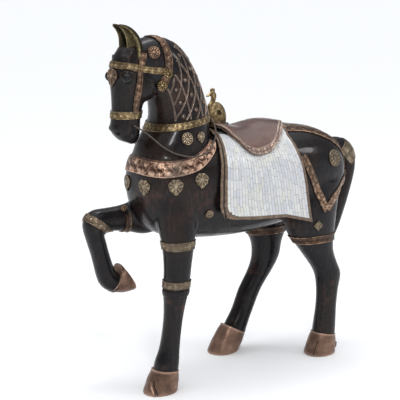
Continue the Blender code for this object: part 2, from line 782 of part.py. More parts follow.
def build_hindquarter_straps(body_skin, clearances):
    """Straps over the croup and the V on each hip."""
    for side_name, side in SIDES.items():
        rows = mirrored(CROUP_STRAP, side)
        croup = band("croup_strap_" + side_name, body_skin, clearances, rows, CROUP_STRAP_WIDTH, COPPER, cells=2)
        rows = mirrored(HIP_STRAP_FRONT, side)
        front = band("hip_strap_front_" + side_name, body_skin, clearances, rows, HIP_STRAP_WIDTH, COPPER)
        rows = mirrored(HIP_STRAP_REAR, side)
        beside = clearances + [croup, front]
        band("hip_strap_rear_" + side_name, body_skin, beside, rows, HIP_STRAP_WIDTH, COPPER)


def build_studs(body_skin, clearances):
    """Round rosettes and leaf pendants."""
    for name, (x, y, z, radius) in ROSETTES.items():
        for side_name, side in SIDES.items():
            stud(f"{name}_{side_name}", body_skin, clearances, (x, y * side, z), round_outline(radius), BRASS)
    for name, (x, y, z, length) in PENDANTS.items():
        for side_name, side in SIDES.items():
            stud(f"{name}_{side_name}", body_skin, clearances, (x, y * side, z), leaf_outline(length), BRASS)
    stud("rosette_forearm", body_skin, clearances, FOREARM_ROSETTE, round_outline(SMALL_ROSETTE), COPPER)


def smooth_step(value):
    value = min(1.0, max(0.0, value))
    return value * value * (3 - 2 * value)


def cloth_place(body_skin, x, fall, side, hem=None):
    """Outer face of the cloth and the way it faces, at a share of the fall from spine to hem."""
    y, z = curve_at(CLOTH_LINE, fall * (len(CLOTH_LINE) - 1))
    spot, _ = body_skin.nearest(at(x, y * side, z))
    out = body_skin.smooth_normal(spot)
    free = smooth_step((fall - 0.55) / 0.3)
    if hem is not None:
        z += (hem - CLOTH_LINE[-1][1]) * smooth_step((fall - 0.3) / 0.7)
    laid = spot + out * CLOTH_THICKNESS
    return laid.lerp(at(x, y * side, z), free), out.lerp(Vector((0, side, 0.12)), free).normalized()


def edge_at(edge, share):
    """Value on an edge drawn as (share, value) points."""
    shares, values = zip(*edge)
    return float(np.interp(share, shares, values))


def two_faced(rows):
    """A closed slab from rows of (outer place, inner place)."""
    bm = bmesh.new()
    outer = [[bm.verts.new(place) for place, _ in row] for row in rows]
    inner = [[bm.verts.new(place) for _, place in row] for row in rows]
    for i in range(len(rows) - 1):
        for j in range(len(rows[0]) - 1):
            bm.faces.new((outer[i][j], outer[i + 1][j], outer[i + 1][j + 1], outer[i][j + 1]))
            bm.faces.new((inner[i][j], inner[i][j + 1], inner[i + 1][j + 1], inner[i + 1][j]))
    last_row, last_column = len(rows) - 1, len(rows[0]) - 1
    for i in range(last_row):
        for j, flip in ((0, 1), (last_column, -1)):
            wall = (outer[i][j], outer[i + 1][j], inner[i + 1][j], inner[i][j])
            bm.faces.new(wall[::flip])
    for j in range(last_column):
        for i, flip in ((0, -1), (last_row, 1)):
            wall = (outer[i][j], outer[i][j + 1], inner[i][j + 1], inner[i][j])
            bm.faces.new(wall[::flip])
    return bm


def build_cloth(body_skin, clearances):
    """The stiff pearl-covered saddle cloth, laid on the back and standing off at its hem."""
    rows = []
    for i in range(CLOTH_CELLS + 1):
        u = i / CLOTH_CELLS
        row = []
        for j in range(-CLOTH_CELLS, CLOTH_CELLS + 1):
            fall = abs(j) / CLOTH_CELLS
            side = -1 if j < 0 else 1
            x = edge_at(CLOTH_FRONT, fall) * (1 - u) + edge_at(CLOTH_REAR, fall) * u
            place, out = cloth_place(body_skin, x, fall, side, edge_at(CLOTH_HEM, u))
            bed = CLOTH_BED + (CLOTH_THICKNESS - CLOTH_BED) * smooth_step((fall - 0.6) / 0.3)
            row.append((place, place - out * bed))
        rows.append(row)
    return laid("saddle_cloth", two_faced(rows), PEARL, clearances)


def build_saddle(body_skin, clearances):
    """The copper-skinned saddle: flaps lying on the cloth, seat dipped behind the pommel."""
    fall_length = sum(math.dist(a, b) for a, b in zip(CLOTH_LINE, CLOTH_LINE[1:]))
    rows = []
    for x, arc, seat in curve_through(SADDLE, SADDLE_ROWS):
        row = []
        for j in range(-SADDLE_CELLS, SADDLE_CELLS + 1):
            reach = abs(j) / SADDLE_CELLS * arc
            side = -1 if j < 0 else 1
            place, out = cloth_place(body_skin, x, reach / fall_length, side)
            top = place + out * SADDLE_THICKNESS
            crown = smooth_step(1 - reach / SEAT_REACH)
            top.z += (seat * CM - top.z) * crown
            row.append((top, place - out * SADDLE_BED))
        rows.append(row)
    return laid("saddle", two_faced(rows), LEATHER, clearances)


def build_peacock(clearances):
    """The brass bird on the pommel, pierced through its folded tail."""
    shells = [loft(PEACOCK_BODY, 16, 8), loft(PEACOCK_NECK, 12, 16)]
    bird = gathered("pommel_peacock", shells, BRASS)
    fused(bird, PEACOCK_VOXEL, 2, PEACOCK_FACES)
    bm = bmesh.new()
    turn = Matrix.Rotation(math.pi / 2, 4, "X")
    bmesh.ops.create_cone(
        bm, cap_ends=True, segments=10, radius1=PEACOCK_HOLE, radius2=PEACOCK_HOLE, depth=6 * CM
    )
    bmesh.ops.transform(bm, matrix=Matrix.Translation(at(*PEACOCK_EYE)) @ turn, verts=bm.verts)
    mesh = bpy.data.meshes.new("peacock_hole")
    bm.to_mesh(mesh)
    bm.free()
    hole = as_cutter(bpy.data.objects.new(mesh.name, mesh))
    return fitted(bird, hole, *clearances)


def build_rein():
    """One thin cord from the left corner of the mouth, over the withers, to the right corner."""
    left = mirrored(REIN_SIDE, -1)
    route = left + [REIN_TOP] + REIN_SIDE[::-1]
    dense = [at(*row) for row in curve_through(route, 400)]
    length = sum((b - a).length for a, b in zip(dense, dense[1:]))
    count = round(length / (3 * REIN_DIAMETER)) + 1
    curve = bpy.data.curves.new("rein", "CURVE")
    curve.dimensions = "3D"
    curve.bevel_depth = REIN_DIAMETER / 2
    curve.bevel_resolution = 2
    curve.use_fill_caps = True
    spline = curve.splines.new("POLY")
    spline.points.add(count - 1)
    for point, row in zip(spline.points, curve_through(route, count)):
        point.co = (*at(*row), 1)
    curve.materials.append(material(CORD))
    rein = bpy.data.objects.new("rein", curve)
    bpy.data.collections[MODEL].objects.link(rein)


def main():
    clear_scene()
    collection(MODEL)
    collection(CUTTERS).hide_render = True
    body = build_body()
    build_hooves()
    body_skin = Skin(body)
    on_wood = grown(body)
    around_ears = build_ears(on_wood)
    around_rings = build_rings(body_skin, on_wood)
    build_bridle(body_skin, on_wood, around_rings["noseband"], around_ears)
    on_cloth = build_cloth(body_skin, [on_wood])
    build_collar(body_skin, [on_wood, on_cloth])
    build_hindquarter_straps(body_skin, [on_wood, on_cloth])
    build_studs(body_skin, [on_wood, on_cloth])
    on_saddle = build_saddle(body_skin, [on_wood, on_cloth])
    build_peacock([on_wood, on_cloth, on_saddle])
    build_rein()


main()
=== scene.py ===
"""Looks of a painted wooden parade horse: dark carved wood under brass and copper harness, a copper-skinned
saddle on a cloth of pearl tiles, a brass peacock on its pommel and sheet-copper hooves.

The horse faces -X and its left side is -Y. Places are drawn in centimetres on a horse 106 tall and go
through at(), as in the part. Flat reliefs are modelled lying down, with x along, y across and z up, and
then laid on the wood.
"""

import math
import random

import bmesh
import bpy
from mathutils import Matrix, Vector, noise
from mathutils.bvhtree import BVHTree


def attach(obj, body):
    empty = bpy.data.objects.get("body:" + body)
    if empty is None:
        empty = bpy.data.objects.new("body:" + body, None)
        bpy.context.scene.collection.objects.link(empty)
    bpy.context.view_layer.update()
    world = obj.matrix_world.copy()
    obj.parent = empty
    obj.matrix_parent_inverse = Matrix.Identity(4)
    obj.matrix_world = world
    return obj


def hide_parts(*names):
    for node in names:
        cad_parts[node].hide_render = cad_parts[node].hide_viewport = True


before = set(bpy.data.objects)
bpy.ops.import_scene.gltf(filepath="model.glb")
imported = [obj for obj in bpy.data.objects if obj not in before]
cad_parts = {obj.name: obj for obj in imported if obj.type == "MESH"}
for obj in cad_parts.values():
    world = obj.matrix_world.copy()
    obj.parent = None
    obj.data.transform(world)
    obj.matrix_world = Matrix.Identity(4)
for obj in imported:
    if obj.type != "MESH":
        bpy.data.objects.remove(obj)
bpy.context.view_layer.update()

CM = 0.01
MIDDLE_X = 13.0
SIDES = {"left": -1, "right": 1}

# Grain of the modelling, in metres
WOOD_VOXEL = 0.0048
WOOD_SMOOTHING = 12
RELIEF_GRID = 0.0014
SECTION_STEP = 0.02
SECTION_POWER = 2.25

CAMERA_DISTANCE = 3.3
CAMERA_TURN = -35
CAMERA_HEIGHT = 1.2
CAMERA_TARGET = (-0.13, 0, 0.53)
CAMERA_LENS = 100.7
SENSOR_WIDTH = 36

# Brightness of the room: height of the direction and share of the brightest
SKY = [(0.0, 0.53), (0.10, 0.50), (0.22, 0.17), (0.62, 0.17), (0.84, 1.0)]
SKY_TINT = (0.96, 0.975, 1.0)
SKY_STRENGTH = 1.9

# Lamps: name, place, size in metres and power in watts
LAMPS = [
    ("key", (-1.6, -2.9, 2.7), 0.6, 34),
    ("fill", (2.6, -2.4, 2.6), 0.6, 16),
    ("top", (0.2, 0.6, 3.2), 0.8, 12),
]
LAMP_TARGET = (0, 0, 0.5)
FLOOR_SIZE = 70.0
FLOOR_COLOUR = (0.955, 0.960, 0.970, 1)

# Harness sizes in metres
BRIDLE_WIDTH = 0.0205
THROAT_WIDTH = 0.026
COLLAR_WIDTH = 0.052
COLLAR_END_WIDTH = 0.026
CROUP_STRAP_WIDTH = 0.036
HIP_STRAP_WIDTH = 0.026
BAND_HEIGHT = 0.0022
EMBOSSING = 0.0022
SHEET = 0.003
REIN_DIAMETER = 0.0045
STRAP_SPACING = 0.004
SUNK_EDGE = -0.001
CLOTH_THICKNESS = 0.009
SADDLE_THICKNESS = 0.010
TILE_WIDTH = 0.0098
TILE_HEIGHT = 0.0300
TILE_JOINT = 0.0009
CLOTH_WIDTH = 0.31
OUTER_EDGE = 0.008
EDGE_GROOVE = 0.014
INNER_EDGE = 0.023
HEM_EDGE = 0.011
CORNER = 0.034
OUTER_CORNER = 0.040
TILES_BEGIN = 0.14
CLOTH_GRID = {"x_segments": 125, "y_segments": 270}
CLOTH_WALL = 0.005

# Shares of the fall from which and over which the cloth leaves the wood, and how far it then looks up
FREE_FROM = 0.55
FREE_OVER = 0.3
CLOTH_LEAN = 0.12
TILE_SEED = 5
TILE_FOOT = -0.003
TILE_SWAY = (-0.0002, 0.0003)
LATTICE_WIDTH = 0.0076

# Oval sections of the carving: x, y, z of the middle, tilt of the long axis, half length, half width
TRUNK = [
    (-22.9, 0, 60.5, 90, 3.0, 3.0),
    (-21.9, 0, 60.2, 90, 7.5, 6.8),
    (-19.0, 0, 59.4, 90, 12.0, 10.2),
    (-13.0, 0, 58.6, 90, 14.8, 12.2),
    (-3.0, 0, 58.2, 90, 16.0, 12.9),
    (8.0, 0, 57.2, 90, 15.7, 13.1),
    (18.0, 0, 57.4, 90, 15.7, 13.1),
    (28.0, 0, 58.4, 90, 15.4, 13.3),
    (37.0, 0, 59.0, 90, 14.4, 13.2),
    (44.0, 0, 59.2, 90, 12.4, 12.0),
    (49.0, 0, 58.2, 90, 10.2, 9.8),
    (52.0, 0, 57.6, 90, 6.0, 6.0),
]
NECK = [
    (-10.5, 0, 60.0, 0, 11.0, 10.2),
    (-10.1, 0, 70.0, 0, 11.3, 9.8),
    (-8.0, 0, 78.0, 4, 8.9, 8.6),
    (-8.8, 0, 84.0, 12, 8.1, 7.7),
    (-10.9, 0, 89.6, 28, 7.7, 7.1),
    (-14.3, 0, 94.0, 48, 7.8, 6.4),
    (-18.8, 0, 96.4, 68, 6.6, 5.7),
    (-23.5, 0, 96.4, 85, 4.6, 4.8),
]
HEAD = [
    (-23.8, 0, 100.0, 0, 2.4, 3.0),
    (-24.5, 0, 98.0, 0, 3.7, 4.2),
    (-24.8, 0, 95.0, 0, 4.8, 4.8),
    (-24.6, 0, 91.0, 0, 5.5, 4.8),
    (-24.6, 0, 87.0, 0, 5.2, 4.4),
    (-25.2, 0, 83.0, 0, 4.5, 3.8),
    (-25.8, 0, 79.0, 0, 4.3, 3.6),
    (-26.1, 0, 76.3, -8, 4.5, 3.8),
    (-26.2, 0, 74.3, -20, 4.0, 3.4),
    (-26.0, 0, 72.8, -22, 2.2, 2.0),
]
FORE_STANDING = [
    (-13.5, 6.5, 57.0, 0, 7.0, 5.2),
    (-13.8, 8.0, 49.0, 0, 6.0, 4.8),
    (-14.2, 9.2, 42.5, 0, 4.7, 4.2),
    (-14.7, 9.6, 36.0, 0, 4.0, 3.7),
    (-15.3, 9.7, 30.0, 0, 3.8, 3.6),
    (-15.9, 9.8, 25.5, 0, 3.2, 3.0),
    (-16.7, 9.9, 20.0, 0, 2.8, 2.7),
    (-17.8, 9.9, 13.0, 0, 3.0, 2.8),
    (-18.8, 9.9, 8.6, 0, 3.7, 3.3),
    (-19.3, 9.9, 5.0, 0, 3.7, 3.3),
]
HIND_STANDING = [
    (39.5, 7.0, 56.0, 0, 9.0, 6.0),
    (36.4, 8.4, 47.0, 0, 9.6, 5.6),
    (36.0, 9.3, 41.0, 0, 8.8, 4.9),
    (38.0, 9.8, 34.5, 0, 5.8, 4.2),
    (40.7, 10.2, 29.5, 0, 4.7, 3.8),
    (42.4, 10.4, 26.0, 0, 4.4, 3.7),
    (42.3, 10.5, 21.0, 0, 3.6, 3.2),
    (41.9, 10.5, 15.0, 0, 3.4, 3.1),
    (41.3, 10.5, 8.6, 0, 3.7, 3.4),
    (41.0, 10.5, 5.0, 0, 3.7, 3.4),
]
HIND_FORWARD = [
    (39.0, 7.0, 56.0, 0, 9.0, 6.0),
    (35.4, 8.2, 47.0, 0, 9.6, 5.6),
    (32.6, 8.8, 40.5, 0, 8.6, 4.9),
    (32.7, 9.0, 34.5, 0, 5.5, 4.2),
    (32.4, 9.0, 29.5, 0, 4.8, 3.8),
    (30.2, 9.0, 25.0, 0, 4.2, 3.5),
    (26.0, 9.0, 19.0, 0, 3.9, 3.1),
    (23.0, 8.8, 13.0, 0, 3.7, 3.0),
    (20.0, 8.6, 7.8, 0, 4.0, 3.4),
    (18.0, 8.5, 3.0, 0, 4.2, 3.5),
]
FORE_RAISED = [
    (-9.0, 6.5, 51.6, 70, 8.0, 4.8),
    (-15.0, 7.8, 49.2, 80, 6.0, 4.5),
    (-21.0, 8.6, 48.7, 90, 4.1, 3.9),
    (-27.0, 9.0, 48.8, 95, 3.5, 3.5),
    (-30.6, 9.0, 48.6, 115, 3.7, 3.5),
    (-31.9, 9.0, 46.6, 150, 3.5, 3.5),
    (-31.0, 9.0, 42.8, 170, 3.0, 3.1),
    (-29.4, 9.0, 37.5, 172, 2.9, 2.9),
    (-28.0, 9.0, 33.0, 180, 3.1, 3.0),
    (-26.4, 9.0, 30.5, 210, 3.5, 3.3),
    (-24.0, 9.0, 29.6, 235, 3.9, 3.5),
    (-21.0, 9.0, 28.0, 245, 4.2, 3.5),
]
DOCK = [
    (45.0, 0, 61.5, 120, 3.5, 3.2),
    (50.0, 0, 64.4, 112, 3.1, 3.0),
    (54.4, 0, 64.8, 85, 3.0, 2.9),
    (57.9, 0, 62.4, 45, 3.0, 2.9),
    (58.8, 0, 57.8, 10, 2.9, 2.9),
    (56.9, 0, 51.0, -18, 2.9, 2.9),
    (54.3, 0, 44.0, -22, 2.9, 2.9),
    (52.0, 0, 37.5, -22, 2.5, 2.5),
    (49.8, 0, 31.5, -20, 1.2, 1.2),
]
CHEEK = (-21.3, 3.0, 88.6)
CHEEK_SIZE = (4.4, 2.4, 4.3)
EYE = (-27.4, 3.9, 91.6)
EYE_SIZE = (1.9, 1.5, 1.5)
SKULL_KNOB = (-24.7, 2.1, 98.0)
SKULL_KNOB_SIZE = (2.3, 2.1, 2.4)

# Hooves: side, coronet (x, z, tilt, half length), sole (x, z, tilt, half length)
HOOF_WIDTH = 4.3
CORONET_WIDTH = 3.7
FOOT_CUT = 0.010
FOOT_REACH = 0.09
FOOT_ASIDE = 0.055
HOOF_SIDES = 56
HOOF_DENT = 0.0011
HOOF_DENT_GRAIN = 38
HOOF_MARK_HEIGHT = 0.0005

# Ears: sections drawn on one side, the way that the hollow faces, its depth, its edge's place, and the width
# of the painted highlight along that edge
EAR = [
    (-24.2, 3.0, 96.4, 0, 2.5, 2.0),
    (-24.3, 3.1, 99.5, 4, 2.35, 1.9),
    (-24.6, 2.9, 101.6, 14, 2.1, 1.6),
    (-25.4, 2.5, 103.5, 30, 1.6, 1.15),
    (-26.8, 2.0, 105.0, 52, 0.95, 0.7),
    (-28.4, 1.7, 105.8, 68, 0.35, 0.3),
]
EAR_FRONT = (-0.80, 0.60)
EAR_HOLLOW = 0.95
EAR_EDGE = 0.45
EAR_HIGHLIGHT_WIDTH = 0.13
EAR_RINGS = 30
EAR_SIDES = 36
HOOVES = {
    "hoof_fore_left": (-9.9, (-19.3, 6.6, -8, 4.1), (-21.2, 0.0, 0, 5.1)),
    "hoof_hind_left": (-10.5, (41.1, 6.8, -10, 4.1), (39.5, 0.0, 0, 5.0)),
    "hoof_hind_right": (8.5, (19.0, 7.2, -28, 4.4), (14.6, 0.0, 0, 4.9)),
    "hoof_fore_right": (9.0, (-25.2, 30.5, 62, 4.1), (-20.8, 30.4, 122, 4.5)),
}

# Harness routes, drawn on one side: x, y, z
BROWBAND = [(-30.4, 0, 95.2), (-29.4, 3.2, 94.9), (-26.6, 4.9, 94.5), (-22.0, 5.0, 93.5), (-15.4, 6.2, 92.8)]
CROWN_STRAP = [(-22.5, 4.7, 98.3), (-23.0, 4.9, 96.2), (-23.6, 5.0, 93.8)]
CHEEK_STRAP = [(-23.7, 5.0, 93.6), (-24.0, 4.9, 90.0), (-24.5, 4.4, 86.0), (-24.9, 3.8, 81.0)]
THROAT_BAND = [
    (-17.2, 0, 102.9),
    (-16.4, 2.8, 101.8),
    (-15.4, 5.3, 98.7),
    (-15.1, 6.1, 95.6),
    (-15.4, 6.3, 92.6),
    (-16.4, 5.8, 89.8),
    (-17.3, 5.0, 87.0),
]
COLLAR = [
    (-22.9, 0, 66.2),
    (-21.6, 6.2, 65.8),
    (-18.2, 9.6, 65.4),
    (-13.4, 11.0, 65.8),
    (-8.4, 11.0, 66.8),
    (-3.4, 9.8, 69.8),
    (-0.9, 7.6, 72.2),
]
CROUP_STRAP = [
    (28.0, 5.0, 73.4),
    (34.0, 5.6, 72.6),
    (39.6, 6.8, 71.0),
    (45.0, 7.6, 68.4),
    (49.8, 7.6, 64.0),
    (52.2, 7.2, 59.0),
]
HIP_STRAP_FRONT = [(29.4, 12.6, 65.6), (32.4, 13.2, 59.3), (35.4, 13.2, 53.4), (38.2, 13.8, 47.4)]
HIP_STRAP_REAR = [(38.4, 13.8, 48.0), (41.8, 13.2, 51.0), (46.0, 11.4, 53.8), (51.8, 7.4, 57.4)]

# Rings round the limbs: x, y, z, tilt of the plane, width, first and last degree
RINGS = {
    "noseband": ((-25.5, 0, 80.8, 0), 0.023, (0, 360)),
    "neck_band": ((-8.2, 0, 77.6, 8), 0.021, (0, 360)),
    "band_fore_left_upper": ((-14.3, -9.3, 43.2, 0), 0.026, (150, 390)),
    "band_fore_left_knee": ((-15.2, -9.8, 31.8, 0), 0.023, (0, 360)),
    "band_fore_right_knee": ((-30.8, 9.0, 47.8, -38), 0.025, (0, 360)),
    "band_fore_right_upper": ((-22.2, 8.7, 48.7, 94), 0.020, (60, 300)),
    "band_hind_left": ((37.0, -9.4, 38.6, 0), 0.026, (0, 360)),
    "band_hind_right": ((34.2, 8.9, 38.6, 0), 0.026, (0, 360)),
}
FORELEG_RING = (-15.5, -9.8, 29.3, 0)
RING_REACH = 0.17
ARC_REACH = 0.07

# Rosettes and pendants: x, y, z and radius or length in metres
ROSETTES = {
    "rosette_jaw": (-19.5, 5.3, 98.2, 0.0192),
    "rosette_neck": (-11.0, 9.2, 73.6, 0.019),
    "rosette_hip": (42.9, 11.7, 63.3, 0.029),
    "rosette_flank": (34.6, 13.8, 43.2, 0.014),
    "rosette_girth": (-5.2, 11.8, 51.6, 0.014),
}
PENDANTS = {
    "pendant_chest": (-22.7, 4.7, 60.4, 0.050),
    "pendant_shoulder": (-16.3, 11.2, 60.8, 0.050),
    "pendant_girth": (-8.2, 12.3, 62.0, 0.048),
    "pendant_withers": (-6.2, 9.0, 73.9, 0.034),
}
BROW_PENDANT = (-29.9, 0, 92.0)
BROW_PENDANT_LENGTH = 0.050
FOREARM_ROSETTE = (-23.0, 6.0, 52.6)
THROAT_ROSETTES = [(-15.6, 6.3, 92.3, 0.0150), (-16.9, 5.5, 88.9, 0.0155)]
THROAT_ROSETTE_HEIGHT = 0.0082
SMALL_ROSETTE = 0.012

# Neck lattice: crossing strips drawn by section of the neck and degrees from the crest
LATTICE_LOW = 2.12
LATTICE_HIGH = 5.3
LATTICE_EDGE = 8
LATTICE_STEP = 30
LATTICE_LEAN = 32
LATTICE_RISE = 0.74
LATTICE_DEPTH = 120
LATTICE_FIRST = 2.31
LATTICE_STARTS = [LATTICE_FIRST + LATTICE_RISE * k for k in range(8)]
LATTICE_ALONG = 5
LATTICE_SPOTS = 40
LATTICE_GRAIN = 0.004
LATTICE_HEIGHT = 0.0010
LATTICE_OVERLAP = 0.0002
LATTICE_EMBOSSING = 0.0014
NECK_REACH = 0.2
NECK_FALLBACK = 0.08

# Throat band over the lattice: first degree that it covers and sections covered per degree
THROAT_BEGINS = 46
THROAT_SLANT = 0.0136
BUTTON_RADIUS = 0.0078
BUTTON = {"steps": 14, "rings": 5, "height": 0.0034}

# Border over the crest, sheath of the tail and ring of the foreleg
CREST_LOW = 1.95
CREST_HIGH = 5.6
CREST_SPOTS = 60
CREST_WIDTH = 0.050
CREST_BORDER = {"height": 0.0012, "embossing": 0.0008}
DOCK_RING = (57.3, 0, 62.6, 46)
DOCK_SPAN = (-130, 130)
DOCK_REACH = 0.06
DOCK_WIDTH = 0.074
DOCK_SHEATH = {"height": 0.0014, "embossing": 0.0014}
FORELEG_RING_WIDTH = 0.022
FORELEG_RING_FORM = {"height": 0.0004, "embossing": 0.0026}

# Carved face, drawn on one side
EYEBALL = (-27.85, 4.62, 91.3)
EYEBALL_RADIUS = 0.0152
NOSTRIL = (-29.6, 1.9, 75.7)
MOUTH = [(-30.4, 0, 73.9), (-29.2, 1.9, 73.6), (-27.2, 3.1, 74.4), (-24.8, 3.7, 76.2)]
JAW = [(-22.6, 4.4, 84.4), (-20.6, 4.6, 85.2), (-18.6, 5.0, 87.0)]
SKULL_BUMP = (-26.8, 2.5, 97.4)
FACE_LIMIT = (-19.0, 0, 97.0)
FACE_LOWEST = 0.70

# Forms about the eye and the nostril: offset, reach and depth in metres, with swellings below zero
EYE_FORMS = [((-0.002, 0.004, 0.020), 0.016, -0.0045), ((0.001, 0.003, -0.026), 0.016, 0.0030)]
NOSTRIL_FORMS = [((0, 0.002, 0.012), 0.013, -0.0030), ((0, 0, 0), 0.0095, 0.0090)]
SKULL_BUMP_FORM = (0.022, -0.0060)
MOUTH_GROOVE = (0.0048, 0.0046)
JAW_GROOVE = (0.016, 0.0020)

# Lid: how far it lies outside the eyeball, its width and height
LID = (0.0030, 0.0050, 0.0022)

# Places rubbed brown: x, y, z, reach in centimetres, strength
RUBBED = [
    (-12.0, -7.5, 86.0, 9.0, 0.9),
    (-12.0, 7.5, 86.0, 9.0, 0.9),
    (-27.0, -4.6, 88.0, 2.4, 0.8),
    (-22.0, -5.0, 57.0, 9.0, 0.7),
    (-8.0, -12.0, 56.0, 9.0, 0.6),
    (26.0, -9.0, 44.0, 8.0, 0.7),
    (-15.0, -12.0, 24.0, 8.0, 0.5),
    (28.0, 9.0, 26.0, 6.0, 0.8),
    (41.0, -12.0, 20.0, 7.0, 0.5),
]

# Cloth: the fall of its outer face from the spine to the hem, and its front, rear and lower edges
CLOTH_LINE = [(0, 75.0), (6.5, 73.6), (11.2, 69.8), (13.4, 64.4), (14.2, 58.6), (14.5, 53.0), (14.7, 48.0)]
CLOTH_FRONT = [(0, 2.2), (0.35, -0.6), (0.6, -2.2), (0.85, -2.9), (1.0, -2.2)]
CLOTH_REAR = [(0, 29.0), (0.25, 26.6), (0.45, 28.0), (0.7, 30.2), (1.0, 32.0)]
CLOTH_HEM = [(0, 49.8), (0.35, 48.4), (0.7, 47.6), (1.0, 44.8)]
CLOTH_LENGTH = sum(math.dist(a, b) for a, b in zip(CLOTH_LINE, CLOTH_LINE[1:])) * CM

# Height of the sheet under the tiles, in the groove and on the strips
STRIP_HEIGHTS = {0.0: -0.0022, 0.5: -0.0020, 1.0: 0.0012}

# Saddle: x, arc from the spine to the edge, height of the seat on the spine
SADDLE = [
    (3.6, 2.8, 76.3),
    (5.6, 5.2, 76.5),
    (7.4, 9.2, 76.2),
    (9.2, 12.9, 75.4),
    (11.8, 14.6, 74.7),
    (14.8, 14.6, 75.0),
    (17.8, 13.7, 75.7),
    (20.8, 11.6, 76.2),
    (23.6, 8.8, 76.1),
    (26.2, 5.8, 75.8),
    (28.2, 2.6, 75.4),
]
SEAT_REACH = 7.5
SADDLE_GRID = {"x_segments": 110, "y_segments": 120}
SADDLE_END = 0.25
SADDLE_WALL = 0.009
SADDLE_RELIEF = 0.0016
SADDLE_RIM = 0.0005
SADDLE_DROP = 0.004

# Saddle's border: its width, the scrolls' middle, their pitch, reach and stem, and two cords
BORDER = 0.023
SCROLL_LINE = 0.0110
SCROLL = (0.022, 0.0058, 0.0021)
INNER_CORD = (0.0205, 0.0018)
OUTER_CORD = (0.002, 0.002)

PEACOCK_BODY = [
    (6.2, 0, 75.6, 0, 3.0, 1.7),
    (6.1, 0, 77.2, 0, 3.2, 1.8),
    (6.0, 0, 78.8, 0, 3.2, 1.7),
    (5.9, 0, 80.3, 0, 2.7, 1.4),
    (5.7, 0, 81.5, 0, 1.9, 1.0),
    (5.6, 0, 82.2, 0, 0.9, 0.5),
]
PEACOCK_NECK = [
    (3.9, 0, 79.0, 20, 1.3, 1.0),
    (3.7, 0, 81.0, -12, 0.9, 0.8),
    (4.7, 0, 82.7, 0, 0.8, 0.7),
    (4.9, 0, 84.2, 20, 0.9, 0.8),
    (4.1, 0, 84.8, 75, 0.8, 0.7),
    (2.3, 0, 84.1, 70, 0.3, 0.3),
]
PEACOCK_EYE = (5.7, 0, 79.2)
PEACOCK_HOLE = 0.0078
PEACOCK_FOOT = [(6.0, 0, 75.0, 0, 4.0, 2.6), (6.0, 0, 75.8, 0, 4.0, 2.6)]
PEACOCK_WING = (6.3, 1.15, 78.0)
PEACOCK_WING_SIZE = (2.3, 0.9, 2.2)
PEACOCK_FEATHER_SIZE = (0.30, 0.26, 0.80)
PEACOCK_FOOT_TOP = 76.4
PEACOCK_VOXEL = 0.0011
PEACOCK_SMOOTHING = 3

# Rein on one side, from the corner of the mouth to the withers
REIN_SIDE = [
    (-25.6, 4.05, 78.0),
    (-22.9, 5.3, 76.2),
    (-20.4, 6.8, 73.8),
    (-18.6, 8.6, 71.8),
    (-15.6, 10.2, 69.9),
    (-11.6, 11.5, 68.8),
    (-8.0, 11.8, 68.8),
    (-4.6, 11.2, 70.0),
    (-1.6, 9.6, 72.4),
    (0.4, 7.4, 75.0),
    (1.6, 4.0, 77.4),
]
REIN_TOP = (2.0, 0.0, 78.9)
REIN_POINTS = 90


def at(x, y, z):
    """World place of a drawn point."""
    return Vector(((x - MIDDLE_X) * CM, y * CM, z * CM))


def sided(place, side):
    """World place of a point drawn on one side, moved to the given side."""
    x, y, z = place
    return at(x, y * side, z)


def curve_at(rows, t):
    """Row of numbers at t on a smooth curve through evenly counted rows."""
    i = min(int(t), len(rows) - 2)
    u = t - i
    b, c = rows[i], rows[i + 1]
    a = rows[i - 1] if i else [2 * p - q for p, q in zip(b, c)]
    d = rows[i + 2] if i + 2 < len(rows) else [2 * q - p for p, q in zip(b, c)]
    made = []
    for e, f, g, h in zip(a, b, c, d):
        cubic = (g - e) * u + (2 * e - 5 * f + 4 * g - h) * u**2 + (3 * f - e - 3 * g + h) * u**3
        made.append(f + 0.5 * cubic)
    return made


def curve_through(rows, count):
    return [curve_at(rows, (len(rows) - 1) * i / (count - 1)) for i in range(count)]


def smooth_step(value):
    value = min(1.0, max(0.0, value))
    return value * value * (3 - 2 * value)


def edge_at(edge, share):
    """Value on an edge drawn as (share, value) points."""
    for (a, low), (b, high) in zip(edge, edge[1:]):
        if share <= b:
            return low + (high - low) * max(0.0, (share - a) / (b - a))
    return edge[-1][1]


def on_side(rows, side):
    return [(row[0], row[1] * side, *row[2:]) for row in rows]


def across_middle(rows):
    """A left-side route from the middle line, continued on the right side."""
    return on_side(rows, -1)[::-1] + rows[1:]


# Camera and light


def linked(name, data):
    """A new object in the scene."""
    obj = bpy.data.objects.new(name, data)
    bpy.context.scene.collection.objects.link(obj)
    return obj


def mesh_of(name, bm):
    """A mesh from a bmesh, which is freed."""
    mesh = bpy.data.meshes.new(name)
    bm.to_mesh(mesh)
    bm.free()
    return mesh


def opened(obj):
    """An object's mesh, to be worked on."""
    bm = bmesh.new()
    bm.from_mesh(obj.data)
    return bm


def written(bm, obj):
    """Put a worked mesh back."""
    bm.to_mesh(obj.data)
    bm.free()


def look_at(obj, target):
    obj.rotation_euler = (target - obj.location).to_track_quat("-Z", "Y").to_euler()


def place_camera():
    camera = linked("camera", bpy.data.cameras.new("camera"))
    turn = math.radians(CAMERA_TURN)
    target = Vector(CAMERA_TARGET)
    aside, back = CAMERA_DISTANCE * math.sin(turn), -CAMERA_DISTANCE * math.cos(turn)
    camera.location = (aside + target.x, back, CAMERA_HEIGHT)
    camera.data.lens = CAMERA_LENS
    camera.data.sensor_width = SENSOR_WIDTH
    look_at(camera, target)
    bpy.context.scene.camera = camera


def soft_light(name, place, size, power):
    lamp = bpy.data.lights.new(name, "AREA")
    lamp.shape = "DISK"
    lamp.size = size
    lamp.energy = power
    obj = linked(name, lamp)
    obj.location = place
    look_at(obj, Vector(LAMP_TARGET))


